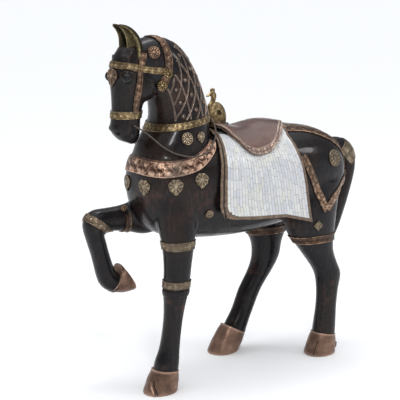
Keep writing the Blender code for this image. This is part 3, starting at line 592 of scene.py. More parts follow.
def light_studio():
    """A pale room: bright overhead and along the horizon, dimmer between, with three soft lamps."""
    scene = bpy.context.scene
    scene.view_settings.view_transform = "Standard"
    world = bpy.data.worlds.new("studio")
    world.use_nodes = True
    tree = world.node_tree
    direction = tree.nodes.new("ShaderNodeTexCoord")
    split = tree.nodes.new("ShaderNodeSeparateXYZ")
    sky = tree.nodes.new("ShaderNodeValToRGB")
    backdrop = tree.nodes["Background"]
    backdrop.inputs["Strength"].default_value = SKY_STRENGTH
    marks = sky.color_ramp.elements
    for i, (height, share) in enumerate(SKY):
        mark = marks[i] if i < 2 else marks.new(height)
        mark.position = height
        mark.color = (*(tint * share for tint in SKY_TINT), 1)
    tree.links.new(direction.outputs["Generated"], split.inputs[0])
    tree.links.new(split.outputs["Z"], sky.inputs[0])
    tree.links.new(sky.outputs[0], backdrop.inputs["Color"])
    scene.world = world
    for lamp in LAMPS:
        soft_light(*lamp)


def lay_floor():
    bm = bmesh.new()
    bmesh.ops.create_grid(bm, x_segments=1, y_segments=1, size=FLOOR_SIZE)
    floor = linked("floor", mesh_of("floor", bm))
    paint = bpy.data.materials.new("floor")
    paint.use_nodes = True
    shader = paint.node_tree.nodes["Principled BSDF"]
    shader.inputs["Base Color"].default_value = FLOOR_COLOUR
    shader.inputs["Roughness"].default_value = 0.9
    floor.data.materials.append(paint)


# Materials


class Finish:
    """A Principled material, built up from object-space patterns."""

    def __init__(self, name, **constants):
        self.material = bpy.data.materials.new(name)
        self.material.use_nodes = True
        self.tree = self.material.node_tree
        self.shader = self.tree.nodes["Principled BSDF"]
        for socket, value in constants.items():
            self.shader.inputs[socket.replace("_", " ").title().replace("Ior", "IOR")].default_value = value
        self.place = self.tree.nodes.new("ShaderNodeTexCoord").outputs["Object"]

    def set(self, node, **values):
        for socket, value in values.items():
            target = node.inputs[socket.replace("_", " ").title()]
            if isinstance(value, bpy.types.NodeSocket):
                self.tree.links.new(value, target)
            else:
                target.default_value = value
        return node

    def stretched(self, scale, turn=(0, 0, 0)):
        """Object place, scaled and turned."""
        node = self.tree.nodes.new("ShaderNodeMapping")
        return self.set(node, vector=self.place, scale=scale, rotation=turn).outputs[0]

    def noise(self, scale, detail=4.0, roughness=0.55, distortion=0.0, vector=None):
        node = self.tree.nodes.new("ShaderNodeTexNoise")
        values = {"scale": scale, "detail": detail, "roughness": roughness, "distortion": distortion}
        return self.set(node, vector=vector or self.place, **values).outputs[0]

    def attribute(self, name):
        node = self.tree.nodes.new("ShaderNodeAttribute")
        node.attribute_name = name
        return node.outputs["Fac"]

    def ramp(self, fac, *stops):
        """Colours or greys at places from 0 to 1."""
        node = self.tree.nodes.new("ShaderNodeValToRGB")
        marks = node.color_ramp.elements
        for i, (place, colour) in enumerate(stops):
            mark = marks[i] if i < 2 else marks.new(place)
            mark.position = place
            mark.color = (*colour, 1) if isinstance(colour, tuple) else (colour, colour, colour, 1)
        self.tree.links.new(fac, node.inputs[0])
        return node.outputs[0]

    def mix(self, fac, low, high):
        node = self.tree.nodes.new("ShaderNodeMix")
        node.data_type = "RGBA"
        for index, value in ((0, fac), (6, low), (7, high)):
            if isinstance(value, bpy.types.NodeSocket):
                self.tree.links.new(value, node.inputs[index])
            elif isinstance(value, tuple):
                node.inputs[index].default_value = (*value, 1)
            else:
                node.inputs[index].default_value = value
        return node.outputs[2]

    def sum(self, a, b, operation="ADD"):
        node = self.tree.nodes.new("ShaderNodeMath")
        node.operation = operation
        for socket, value in zip(node.inputs, (a, b)):
            if isinstance(value, bpy.types.NodeSocket):
                self.tree.links.new(value, socket)
            else:
                socket.default_value = value
        return node.outputs[0]

    def bump(self, height, distance, strength=1.0, under=None):
        node = self.tree.nodes.new("ShaderNodeBump")
        self.set(node, height=height, distance=distance, strength=strength)
        if under:
            self.tree.links.new(under, node.inputs["Normal"])
        return node.outputs[0]

    def wear(self, **sockets):
        for name, value in sockets.items():
            self.tree.links.new(value, self.shader.inputs[name.replace("_", " ").title()])
        return self.material


def painted_wood():
    """Black paint over carved wood: a bluish gloss, rubbed brown and reddish where it is handled."""
    f = Finish("painted_wood", specular_ior_level=0.14, coat_weight=0.15, coat_roughness=0.06)
    clouds = f.noise(5.0, 5.0, 0.6)
    ground = f.ramp(
        clouds,
        (0.30, (0.0045, 0.0048, 0.0075)),
        (0.52, (0.0075, 0.0062, 0.0068)),
        (0.74, (0.022, 0.012, 0.009)),
    )
    tool_marks = f.noise(1.0, 3.0, 0.6, vector=f.stretched((150, 150, 20)))
    rub = f.attribute("rub")
    worn = f.sum(f.noise(34.0, 6.0, 0.7), f.sum(rub, 0.22, "MULTIPLY"))
    colour = f.mix(f.ramp(worn, (0.60, 0.0), (0.78, 0.9)), ground, (0.060, 0.027, 0.019))
    streaks = f.sum(tool_marks, f.sum(rub, 0.10, "MULTIPLY"))
    colour = f.mix(f.ramp(streaks, (0.56, 0.0), (0.80, 0.75)), colour, (0.052, 0.029, 0.022))
    rough = f.ramp(f.noise(24.0, 4.0, 0.6), (0.3, 0.20), (0.7, 0.40))
    chips = f.bump(tool_marks, 0.0006, 0.5)
    dents = f.bump(f.noise(28.0, 3.0, 0.5), 0.0022, 0.6, chips)
    return f.wear(base_color=colour, roughness=rough, normal=dents)


# Worn metals: colours in the hollows, between and on the heights, and of the patina
METALS = {
    "aged_brass": ((0.030, 0.019, 0.010), (0.190, 0.130, 0.062), (0.76, 0.60, 0.34), (0.090, 0.062, 0.038)),
    "aged_copper": ((0.024, 0.014, 0.010), (0.135, 0.076, 0.048), (0.58, 0.39, 0.26), (0.062, 0.045, 0.036)),
    "rose_copper": ((0.032, 0.018, 0.013), (0.205, 0.110, 0.074), (0.78, 0.53, 0.38), (0.105, 0.088, 0.078)),
    "bronze": ((0.030, 0.022, 0.016), (0.175, 0.128, 0.085), (0.56, 0.45, 0.31), (0.105, 0.084, 0.058)),
    "net_bronze": ((0.030, 0.021, 0.017), (0.160, 0.116, 0.093), (0.45, 0.35, 0.285), (0.095, 0.074, 0.062)),
    "olive_brass": ((0.018, 0.013, 0.007), (0.105, 0.079, 0.036), (0.58, 0.49, 0.27), (0.055, 0.046, 0.027)),
}


def worn_metal(name):
    """Embossed sheet: dark in the hollows, bright on the heights, with a little patina."""
    deep, middle, high, patina = METALS[name]
    f = Finish(name, metallic=0.85)
    # The attribute holds the relief's height on the bands and plates, and a painted highlight on the ears and
    # the peacock
    lift = f.attribute("lift")
    speckle = f.ramp(f.noise(95.0, 6.0, 0.72), (0.36, 0.0), (0.64, 1.0))
    height = f.sum(lift, f.sum(f.sum(speckle, 0.44, "MULTIPLY"), 0.24, "SUBTRACT"))
    colour = f.ramp(height, (0.06, deep), (0.45, middle), (0.95, high))
    spots = f.ramp(f.noise(13.0, 5.0, 0.62), (0.45, 0.0), (0.62, 0.66))
    colour = f.mix(spots, colour, patina)
    rough = f.ramp(f.noise(45.0, 4.0, 0.6), (0.3, 0.30), (0.7, 0.52))
    dents = f.bump(f.noise(110.0, 4.0, 0.6), 0.0008, 0.6)
    return f.wear(base_color=colour, roughness=rough, normal=dents)


def pearl():
    """Mother-of-pearl: each tile has its own tone, with faint wavy growth lines."""
    f = Finish("pearl_tile", roughness=0.34, coat_weight=0.12, coat_roughness=0.22)
    tone = f.attribute("tone")
    tint = f.ramp(
        tone,
        (0.0, (0.49, 0.50, 0.53)),
        (0.3, (0.57, 0.58, 0.585)),
        (0.6, (0.66, 0.66, 0.635)),
        (0.85, (0.61, 0.595, 0.53)),
        (1.0, (0.47, 0.47, 0.46)),
    )
    growth = f.noise(1.0, 3.0, 0.6, 1.2, vector=f.stretched((90, 90, 300)))
    veil = f.ramp(growth, (0.35, 0.0), (0.70, 0.55))
    colour = f.mix(veil, tint, (0.56, 0.58, 0.60))
    clouds = f.noise(9.0, 3.0, 0.5)
    colour = f.mix(f.ramp(clouds, (0.46, 0.0), (0.62, 0.5)), colour, (0.53, 0.535, 0.59))
    colour = f.mix(f.ramp(clouds, (0.34, 0.5), (0.46, 0.0)), colour, (0.67, 0.665, 0.58))
    ripple = f.bump(growth, 0.0004, 0.35)
    return f.wear(base_color=colour, normal=ripple)


def saddle_skin():
    """Brown-mauve copper skin of the saddle, lighter on its embossed border."""
    f = Finish("saddle_copper", metallic=0.35, coat_weight=0.30, coat_roughness=0.16)
    lift = f.attribute("lift")
    clouds = f.noise(11.0, 5.0, 0.6)
    ground = f.ramp(
        clouds,
        (0.3, (0.060, 0.034, 0.030)),
        (0.55, (0.112, 0.056, 0.044)),
        (0.8, (0.19, 0.105, 0.080)),
    )
    colour = f.mix(f.ramp(lift, (0.25, 0.0), (0.9, 0.9)), ground, (0.44, 0.33, 0.25))
    rough = f.ramp(f.noise(38.0, 4.0, 0.6), (0.3, 0.20), (0.7, 0.36))
    dents = f.bump(f.noise(60.0, 4.0, 0.55), 0.001, 0.5)
    return f.wear(base_color=colour, roughness=rough, normal=dents)


def hoof_sheet():
    """Hammered copper over the hooves, brown, with a painted pink highlight on the rolled edges and lifted
    laps and painted shade, near black, at the foot of each lap.
    """
    f = Finish("hoof_copper", metallic=0.7)
    lift = f.attribute("lift")
    clouds = f.noise(20.0, 6.0, 0.65)
    ground = f.ramp(
        clouds,
        (0.3, (0.056, 0.031, 0.022)),
        (0.5, (0.150, 0.086, 0.058)),
        (0.75, (0.31, 0.19, 0.135)),
    )
    # Painted highlight: pink where the attribute is high, on the rolled edges and the lifted laps
    colour = f.mix(f.ramp(lift, (0.3, 0.0), (1.0, 0.8)), ground, (0.56, 0.36, 0.27))
    # Painted shade: near black where the attribute is lowest, at the foot of each lap
    colour = f.mix(f.ramp(lift, (0.0, 1.0), (0.2, 0.0)), colour, (0.010, 0.006, 0.005))
    rough = f.ramp(f.noise(50.0, 4.0, 0.6), (0.3, 0.28), (0.7, 0.46))
    dents = f.bump(f.noise(70.0, 3.0, 0.5), 0.0015, 0.6)
    return f.wear(base_color=colour, roughness=rough, normal=dents)


def cloth_sheet():
    """Grey bed of the pearl tiles, with bronze strips along its edges and a dark groove between them."""
    f = Finish("cloth_sheet", roughness=0.5)
    strip = f.attribute("strip")
    grain = f.noise(90.0, 5.0, 0.6)
    bronze = f.ramp(
        grain,
        (0.3, (0.070, 0.042, 0.026)),
        (0.55, (0.150, 0.098, 0.062)),
        (0.75, (0.30, 0.215, 0.14)),
    )
    colour = f.mix(f.ramp(strip, (0.20, 0.0), (0.30, 1.0)), (0.17, 0.17, 0.17), (0.012, 0.009, 0.008))
    colour = f.mix(f.ramp(strip, (0.70, 0.0), (0.80, 1.0)), colour, bronze)
    return f.wear(base_color=colour, normal=f.bump(grain, 0.0008, 0.5))


def gloss_black():
    f = Finish("gloss_black", specular_ior_level=0.34)
    colour = f.ramp(f.noise(40.0), (0.3, (0.002, 0.002, 0.003)), (0.8, (0.006, 0.005, 0.005)))
    return f.wear(base_color=colour, roughness=f.ramp(f.noise(60.0), (0.3, 0.16), (0.8, 0.22)))


def twisted_cord():
    """Dark waxed cord."""
    f = Finish("dark_cord", roughness=0.7)
    colour = f.ramp(f.noise(300.0), (0.3, (0.030, 0.023, 0.017)), (0.8, (0.13, 0.10, 0.075)))
    return f.wear(base_color=colour, normal=f.bump(f.noise(500.0), 0.0006, 0.6))


FINISHES = {
    "painted_wood": painted_wood(),
    "aged_brass": worn_metal("aged_brass"),
    "aged_copper": worn_metal("aged_copper"),
    "hoof_copper": hoof_sheet(),
    "pearl_tile": pearl(),
    "saddle_copper": saddle_skin(),
    "dark_cord": twisted_cord(),
}
CLOTH_SHEET = cloth_sheet()
GLOSS = gloss_black()
ROSE_COPPER = worn_metal("rose_copper")
BRONZE = worn_metal("bronze")
NET_BRONZE = worn_metal("net_bronze")
OLIVE_BRASS = worn_metal("olive_brass")


# Making pieces


def piece(name, bm, finish, nodes=(), smooth_angle=50, coat=None):
    """A finished piece from a bmesh, riding on the horse."""
    mesh = mesh_of(name, bm)
    obj = linked(name, mesh)
    mesh.materials.append(coat or FINISHES[finish])
    mesh.shade_smooth()
    mesh.set_sharp_from_angle(angle=math.radians(smooth_angle))
    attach(obj, "root")
    if nodes:
        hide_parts(*nodes)
    return obj


def solid_sheet(obj, thickness=SHEET):
    """Give a laid sheet its thickness towards the wood."""
    wall = obj.modifiers.new("wall", "SOLIDIFY")
    wall.thickness = thickness
    wall.offset = -1


def baked(obj):
    """Replace an object's mesh by its modified one."""
    graph = bpy.context.evaluated_depsgraph_get()
    mesh = bpy.data.meshes.new_from_object(obj.evaluated_get(graph))
    old = obj.data
    obj.modifiers.clear()
    obj.data = mesh
    bpy.data.meshes.remove(old)
    mesh.name = obj.name


def oval(bm, row, sides=32, power=SECTION_POWER):
    """One oval ring of edges, a little squarer than an ellipse."""
    x, y, z, tilt, along, across = row
    verts = bmesh.ops.create_circle(bm, segments=sides, radius=1.0)["verts"]
    for vert in verts:
        for axis in (0, 1):
            value = vert.co[axis]
            vert.co[axis] = math.copysign(abs(value) ** (2 / power), value)
    turn = Matrix.Rotation(math.radians(-tilt), 4, "Y")
    size = Matrix.Diagonal((along * CM, across * CM, 1, 1))
    bmesh.ops.transform(bm, matrix=Matrix.Translation(at(x, y, z)) @ turn @ size, verts=verts)
    ring = set(verts)
    return [edge for edge in bm.edges if ring.issuperset(edge.verts)]


def bridged(bm, rings):
    """Walls between rings, with both ends closed."""
    for low, high in zip(rings, rings[1:]):
        bmesh.ops.bridge_loops(bm, edges=low + high)
    bmesh.ops.holes_fill(bm, edges=[edge for edge in bm.edges if edge.is_boundary])
    bmesh.ops.recalc_face_normals(bm, faces=bm.faces)


def loft(rows, sides=32, count=None):
    """A limb through oval sections."""
    bm = bmesh.new()
    places = [at(*row[:3]) for row in rows]
    length = sum((b - a).length for a, b in zip(places, places[1:]))
    count = count or max(len(rows), round(length / SECTION_STEP) + 1)
    bridged(bm, [oval(bm, row, sides) for row in curve_through(rows, count)])
    return bm


def lump(place, size):
    """A ball-shaped swelling of the carving."""
    bm = bmesh.new()
    bmesh.ops.create_uvsphere(bm, u_segments=24, v_segments=16, radius=1.0)
    scale = Matrix.Diagonal((*(s * CM for s in size), 1.0))
    bmesh.ops.transform(bm, matrix=Matrix.Translation(at(*place)) @ scale, verts=bm.verts)
    return bm


def gathered(shells):
    """Several closed shells in one bmesh."""
    whole = bmesh.new()
    for shell in shells:
        mesh = mesh_of("shell", shell)
        whole.from_mesh(mesh)
        bpy.data.meshes.remove(mesh)
    return whole


def melted(obj, voxel, smoothing):
    """Melt overlapping shells into one skin."""
    melt = obj.modifiers.new("melt", "REMESH")
    melt.mode = "VOXEL"
    melt.voxel_size = voxel
    relax = obj.modifiers.new("relax", "SMOOTH")
    relax.factor = 0.5
    relax.iterations = smoothing
    baked(obj)
    obj.data.shade_smooth()


class Skin:
    """The finished surface of a piece, for laying other pieces on it."""

    def __init__(self, obj):
        bm = opened(obj)
        self.tree = BVHTree.FromBMesh(bm)
        bm.free()

    def nearest(self, place):
        return self.tree.find_nearest(place)[0]

    def facing(self, place, reach=0.006):
        """Normal averaged over a few spots round the place."""
        spot, normal = self.tree.find_nearest(place)[:2]
        total = normal.copy()
        side = normal.orthogonal().normalized()
        for other in (side, -side, normal.cross(side), side.cross(normal)):
            total += self.tree.find_nearest(spot + other * reach)[1]
        return total.normalized()


def drawn_on(skin, rows):
    """Close spots on the wood along a smooth curve through drawn points."""
    return [skin.nearest(at(*row)) for row in curve_through(rows, 30 * len(rows))]


class Strap:
    """A route over the wood through close spots."""

    def __init__(self, skin, dense):
        self.skin = skin
        runs = [0.0]
        for a, b in zip(dense, dense[1:]):
            runs.append(runs[-1] + (b - a).length)
        self.length = runs[-1]
        count = max(4, round(self.length / STRAP_SPACING) + 1)
        self.spots = []
        i = 0
        for k in range(count):
            want = self.length * k / (count - 1)
            while i < len(runs) - 2 and runs[i + 1] < want:
                i += 1
            share = (want - runs[i]) / max(runs[i + 1] - runs[i], 1e-9)
            self.spots.append(dense[i].lerp(dense[i + 1], share))
        self.sides = []
        for i, spot in enumerate(self.spots):
            ahead = self.spots[min(i + 2, count - 1)] - self.spots[max(i - 2, 0)]
            self.sides.append(ahead.cross(skin.facing(spot, 0.012)).normalized())

    def place(self, s, w):
        t = min(max(s / self.length, 0.0), 1.0) * (len(self.spots) - 1)
        i = min(int(t), len(self.spots) - 2)
        spot = self.spots[i].lerp(self.spots[i + 1], t - i)
        side = self.sides[i].lerp(self.sides[i + 1], t - i).normalized()
        spot = self.skin.nearest(spot + side * w)
        return spot, self.skin.facing(spot)


class Ring:
    """A route round a limb, in the plane across it."""

    def __init__(self, skin, place, span, reach, steps=180):
        x, y, z, tilt = place
        turn = math.radians(tilt)
        self.skin = skin
        self.reach = reach
        self.middle = at(x, y, z)
        self.long_axis = Vector((math.cos(turn), 0, math.sin(turn)))
        self.limb_axis = Vector((-math.sin(turn), 0, math.cos(turn)))
        first, last = (math.radians(a) for a in span)
        self.angles = [first + (last - first) * i / steps for i in range(steps + 1)]
        spots = [self.spot(angle, 0.0) for angle in self.angles]
        self.runs = [0.0]
        for a, b in zip(spots, spots[1:]):
            self.runs.append(self.runs[-1] + (b - a).length)
        self.length = self.runs[-1]
        self.closed = abs(last - first) > math.tau - 0.01

    def spot(self, angle, shift):
        out = self.long_axis * math.cos(angle) + Vector((0, math.sin(angle), 0))
        start = self.middle + self.limb_axis * shift
        return self.skin.tree.ray_cast(start, out, self.reach)[0] or start + out * self.reach

    def place(self, s, w):
        low, high = 0, len(self.runs) - 1
        while high - low > 1:
            mid = (low + high) // 2
            if self.runs[mid] <= s:
                low = mid
            else:
                high = mid
        share = (s - self.runs[low]) / max(self.runs[high] - self.runs[low], 1e-9)
        angle = self.angles[low] + (self.angles[high] - self.angles[low]) * share
        spot = self.spot(angle, w)
        return spot, self.skin.facing(spot)


class Plate:
    """A spot on the wood for a rosette: x runs across, y down."""

    def __init__(self, skin, spot):
        self.skin = skin
        self.spot = skin.nearest(spot)
        self.out = skin.facing(self.spot, 0.014)
        side = Vector((0, 0, 1)).cross(self.out)
        side = side.normalized() if side.length > 0.1 else Vector((0, 1, 0))
        down = side.cross(self.out).normalized()
        if down.z > 0:
            down = -down
        self.side = side
        self.down = down

    def place(self, a, b):
        flat = self.spot + self.side * a + self.down * b
        foot = self.skin.nearest(flat)
        return foot + self.out * max(0.0, (self.spot - foot).dot(self.out)) * 0.35, self.out


def lay(bm, route):
    """Wrap a flat relief on the wood."""
    for vert in bm.verts:
        spot, out = route.place(vert.co.x, vert.co.y)
        vert.co = spot + out * vert.co.z


# Reliefs: each gives a height share from 0 to 1 at s along and w across a band


def bell(distance, width):
    return math.exp(-((distance / width) ** 2))


def dome(distance, radius):
    return math.sqrt(max(0.0, 1 - (distance / radius) ** 2))


def beads(s, w, line, pitch, radius):
    along = (s % pitch) - pitch / 2
    return dome(math.hypot(along, abs(w) - line), radius)


def rim(w, half, size):
    return smooth_step((abs(w) - half + 2 * size) / size)


def on_ground(share, ground=0.26):
    """A relief standing on a sheet that already lies a little above the hollows."""
    return ground + (1 - ground) * min(1.0, share)


def circles(s, w, pitch, radius):
    """A row of ringed bosses."""
    distance = math.hypot((s % pitch) - pitch / 2, w)
    ring = bell(distance - radius * 0.86, radius * 0.2)
    return max(dome(distance, radius * 0.5), 0.55 * ring)


def vine(s, w, pitch, reach, thickness):
    """A wavy stem with a leaf in each bend."""
    phase = math.tau * s / pitch
    stem = bell(w - reach * math.sin(phase), thickness)
    along = (s % (pitch / 2)) - pitch / 4
    side = -1 if (s % pitch) < pitch / 2 else 1
    leaf = dome(math.hypot(along * 0.8, w - side * reach * 0.9), reach * 0.75)
    return max(stem * 0.8, leaf)


def hammered(s, w, grain, seed):
    """Uneven hand work: a smooth random share from 0 to 1."""
    return 0.5 + 0.5 * noise.noise(Vector((s / grain, w / grain, seed)))


def knee_relief(s, w, half):
    """Square bosses and rings between two rims, worn unevenly."""
    field = max(circles(s, w, 0.0165, half * 0.62), 0.55 * vine(s + 0.004, w, 0.033, half * 0.55, 0.0016))
    return on_ground(max(field, 0.85 * rim(w, half, 0.0016)) * (0.45 + 0.65 * hammered(s, w, 0.012, 1.0)))


def bridle_relief(s, w, half):
    field = max(circles(s, w, 0.0185, half * 0.66), 0.5 * beads(s + 0.009, w, 0.0, 0.0185, 0.003))
    return on_ground(max(field, 0.7 * rim(w, half, 0.0016)) * (0.45 + 0.65 * hammered(s, w, 0.014, 2.0)))


def collar_relief(s, w, half):
    """A plain upper rim over a field of bosses and leaves, with a wavy lower edge."""
    upper = smooth_step((w - half * 0.66) / 0.002)
    field = max(
        circles(s, w - half * 0.05, 0.046, half * 0.36),
        vine(s, w + half * 0.12, 0.046, half * 0.5, 0.0024),
        0.7 * vine(s + 0.011, w + half * 0.1, 0.023, half * 0.62, 0.0016),
    )
    field *= 0.45 + 0.75 * hammered(s, w, 0.010, 3.0)
    ridge = bell(w - half * 0.64, 0.0013)
    hem = bell(w + half * 0.86, 0.0018)
    return on_ground(max(0.2 * upper, field * (1 - upper), 0.8 * ridge, 0.9 * hem), 0.14)


def strap_relief(s, w, half):
    field = max(vine(s, w, 0.026, half * 0.5, 0.0018), 0.7 * vine(s + 0.008, w, 0.014, half * 0.55, 0.0013))
    edge = 0.75 * rim(w, half, 0.0014)
    return on_ground(max(field * (0.3 + 0.8 * hammered(s, w, 0.009, 4.0)), edge), 0.34)


def croup_relief(s, w, half):
    """Worn leaf work with a light beaded cord along both edges."""
    field = 0.8 * vine(s, w, 0.040, half * 0.5, 0.0026) * (0.3 + 0.8 * hammered(s, w, 0.014, 5.0))
    return on_ground(max(field, beads(s, w, half - 0.0030, 0.0050, 0.0026)), 0.16)


def plain_relief(s, w, half):
    """Two edge cords and a middle line."""
    edge = bell(abs(w) - half * 0.82, 0.0014)
    line = 0.5 * bell(abs(w) - half * 0.40, 0.0012)
    return on_ground(max(edge, line) * (0.55 + 0.6 * hammered(s, w, 0.010, 6.0)), 0.12)


def fold_relief(s, w, half):
    """A lap of sheet that stands up along one edge."""
    return smooth_step(0.5 + 0.5 * w / half) * (0.65 + 0.5 * hammered(s, w, 0.006, 8.0))


def cushion_relief(s, w, half):
    """A plain rounded ring."""
    return dome(w, half)


def twin_relief(s, w, half):
    """Two fine ridges side by side."""
    return bell(abs(w) - half * 0.55, half * 0.3)


def flat_band(length, width, relief, grain, height, embossing):
    """A flat strip with its relief, the edges turned down into the wood."""
    bm = bmesh.new()
    lift = bm.verts.layers.float.new("lift")
    widest = max(width(k / 20) for k in range(21)) if callable(width) else width
    columns = max(4, round(length / grain))
    rows = max(4, round(widest / RELIEF_GRID))
    bmesh.ops.create_grid(bm, x_segments=columns, y_segments=rows, size=0.5)
    for vert in bm.verts:
        u = vert.co.x + 0.5
        half = (width(u) if callable(width) else width) / 2
        s, w = u * length, vert.co.y * 2 * half
        share = relief(s, w, half)
        border = abs(vert.co.y) > 0.499
        vert[lift] = 0.0 if border else share
        vert.co = (s, w, SUNK_EDGE if border else height + embossing * share)
    return bm


def turned_down(bm):
    """Sink the border of an open sheet."""
    for vert in bm.verts:
        if vert.is_boundary:
            vert.co.z = SUNK_EDGE


def band(
    name,
    route,
    width,
    relief,
    finish,
    nodes,
    coat=None,
    grain=RELIEF_GRID,
    height=BAND_HEIGHT,
    embossing=EMBOSSING,
):
    """A strip of embossed sheet laid along a route."""
    bm = flat_band(route.length, width, relief, grain, height, embossing)
    closed = getattr(route, "closed", False)
    if not closed:
        turned_down(bm)
    lay(bm, route)
    if closed:
        bmesh.ops.remove_doubles(bm, verts=bm.verts, dist=0.0002)
    bmesh.ops.recalc_face_normals(bm, faces=bm.faces)
    face_outwards(bm, route)
    solid_sheet(piece(name, bm, finish, nodes, coat=coat), min(SHEET, height - SUNK_EDGE))


def face_outwards(bm, route):
    """Turn an open sheet's faces away from the wood."""
    bm.faces.ensure_lookup_table()
    bm.normal_update()
    middle = bm.faces[len(bm.faces) // 2]
    if middle.normal.dot(route.skin.facing(middle.calc_center_median())) < 0:
        bmesh.ops.reverse_faces(bm, faces=bm.faces)


def flat_disc(radius, rings, steps, outline, relief, height):
    """A flat round plate: outline gives its reach and relief its height at each angle."""
    bm = bmesh.new()
    lift = bm.verts.layers.float.new("lift")
    line = [bm.verts.new((i / rings, 0, 0)) for i in range(rings + 1)]
    spokes = [bm.edges.new(pair) for pair in zip(line, line[1:])]
    bmesh.ops.spin(bm, geom=line + spokes, axis=(0, 0, 1), angle=math.tau, steps=steps, use_merge=True)
    bmesh.ops.remove_doubles(bm, verts=bm.verts, dist=1e-5)
    for vert in bm.verts:
        share = math.hypot(vert.co.x, vert.co.y)
        angle = math.atan2(vert.co.y, vert.co.x)
        reach = radius * outline(angle)
        raised = relief(share, angle)
        border = share > 0.999
        vert[lift] = 0.0 if border else raised
        vert.co = (
            share * reach * math.cos(angle),
            share * reach * math.sin(angle),
            SUNK_EDGE if border else height * (0.40 + 0.60 * raised),
        )
    return bm


def flower_relief(share, angle, petals=10):
    boss = 0.8 * dome(share, 0.26)
    petal = bell(share - 0.55, 0.22) * (0.45 + 0.55 * math.cos(petals * angle))
    edge = bell(share - 0.90, 0.07) * (0.75 + 0.25 * math.cos(24 * angle))
    return on_ground(max(boss, petal, edge), 0.18)


def leaf_reach(angle):
    """Outline of a palmette hanging point down."""
    point = max(0.0, math.sin(angle)) ** 6
    lobes = 1 + 0.05 * math.cos(7 * angle + 0.5 * math.pi)
    return lobes * math.hypot(0.48 * math.cos(angle), 0.40 * math.sin(angle) + 0.16 * point)


def brow_reach(angle):
    """A wider palmette for the forehead."""
    point = max(0.0, math.sin(angle)) ** 5
    return math.hypot(0.56 * math.cos(angle), 0.40 * math.sin(angle) + 0.26 * point)


def even(angle):
    return 1.0


def diamond(angle):
    return 1.3 / (abs(math.cos(angle)) + abs(math.sin(angle)))


def button_relief(share, angle):
    """A small boss in a ring."""
    return max(dome(share, 0.45), 0.7 * bell(share - 0.80, 0.12))


def leaf_relief(share, angle):
    """Flutes fanning out from a boss."""
    boss = dome(share, 0.30)
    flute = (0.5 + 0.5 * math.cos(9 * (angle - math.pi / 2))) * smooth_step(share / 0.4)
    edge = bell(share - 0.92, 0.06)
    return on_ground(max(boss, 0.85 * flute * (1 - 0.4 * share), 0.7 * edge), 0.22)


def plate(
    name,
    skin,
    spot,
    radius,
    outline,
    relief,
    finish,
    nodes,
    coat=None,
    steps=48,
    rings=12,
    height=0.0052,
):
    """A rosette or pendant nailed at a spot."""
    route = Plate(skin, spot)
    bm = flat_disc(radius, rings, steps, outline, relief, height)
    lay(bm, route)
    bmesh.ops.recalc_face_normals(bm, faces=bm.faces)
    face_outwards(bm, route)
    solid_sheet(piece(name, bm, finish, nodes, coat=coat))


# The carving


def carve_body():
    shells = [loft(rows) for rows in (TRUNK, NECK, HEAD, FORE_RAISED, HIND_FORWARD, DOCK)]
    shells += [loft(on_side(rows, -1)) for rows in (FORE_STANDING, HIND_STANDING)]
    for side in SIDES.values():
        for place, size in ((CHEEK, CHEEK_SIZE), (EYE, EYE_SIZE), (SKULL_KNOB, SKULL_KNOB_SIZE)):
            shells.append(lump((place[0], place[1] * side, place[2]), size))
    body = piece("carved_body", gathered(shells), "painted_wood", ("horse_body",))
    melted(body, WOOD_VOXEL, WOOD_SMOOTHING)
    trim_feet(body)
    carve_face(body)
    rub_through(body)
    return body


def pushed(verts, place, reach, depth):
    """Press a round hollow into the wood, or raise a swelling where depth is below zero."""
    for vert in verts:
        distance = (vert.co - place).length
        if distance < reach:
            vert.co -= vert.normal * depth * (1 - (distance / reach) ** 2) ** 2


def shape_round(verts, place, forms, side):
    """Hollows and swellings offset from a place."""
    for (x, y, z), reach, depth in forms:
        pushed(verts, place + Vector((x, y * side, z)), reach, depth)


def ringed(verts, place, radius, width, height):
    """Raise a round lid about a place."""
    for vert in verts:
        distance = (vert.co - place).length
        vert.co += vert.normal * height * bell(distance - radius, width)


def grooved(verts, path, width, depth):
    """Cut a groove along a path of places."""
    for vert in verts:
        distance = min((vert.co - place).length for place in path)
        if distance < width:
            vert.co -= vert.normal * depth * (1 - (distance / width) ** 2)


def carve_face(body):
    """Lids, nostrils and the mouth line, cut into a finer mesh on the head."""
    bm = opened(body)
    limit = at(*FACE_LIMIT)
    middles = [(face, face.calc_center_median()) for face in bm.faces]
    head = [face for face, middle in middles if middle.x < limit.x and FACE_LOWEST < middle.z < limit.z]
    edges = {edge for face in head for edge in face.edges}
    made = bmesh.ops.subdivide_edges(bm, edges=list(edges), cuts=1, use_grid_fill=True)
    verts = {v for edge in edges for v in edge.verts if edge.is_valid}
    verts |= {v for v in made["geom_inner"] if isinstance(v, bmesh.types.BMVert)}
    verts = list(verts)
    for _ in range(3):
        bmesh.ops.smooth_vert(bm, verts=verts, factor=0.5, use_axis_x=True, use_axis_y=True, use_axis_z=True)
    bm.normal_update()
    for side in SIDES.values():
        eye = sided(EYEBALL, side)
        shape_round(verts, eye, EYE_FORMS, side)
        bm.normal_update()
        ringed(verts, eye, EYEBALL_RADIUS + LID[0], *LID[1:])
        pushed(verts, sided(SKULL_BUMP, side), *SKULL_BUMP_FORM)
        shape_round(verts, sided(NOSTRIL, side), NOSTRIL_FORMS, side)
        grooved(verts, [sided(row, side) for row in curve_through(MOUTH, 30)], *MOUTH_GROOVE)
        grooved(verts, [sided(row, side) for row in JAW], *JAW_GROOVE)
    written(bm, body)
    body.data.shade_smooth()


def rub_through(body):
    """Mark where the paint is rubbed, for the wood's material."""
    bm = opened(body)
    rub = bm.verts.layers.float.new("rub")
    spots = [(at(x, y, z), reach * CM, strength) for x, y, z, reach, strength in RUBBED]
    for vert in bm.verts:
        share = 0.0
        for spot, reach, strength in spots:
            share = max(share, strength * smooth_step(1 - (vert.co - spot).length / reach))
        vert[rub] = share
    written(bm, body)


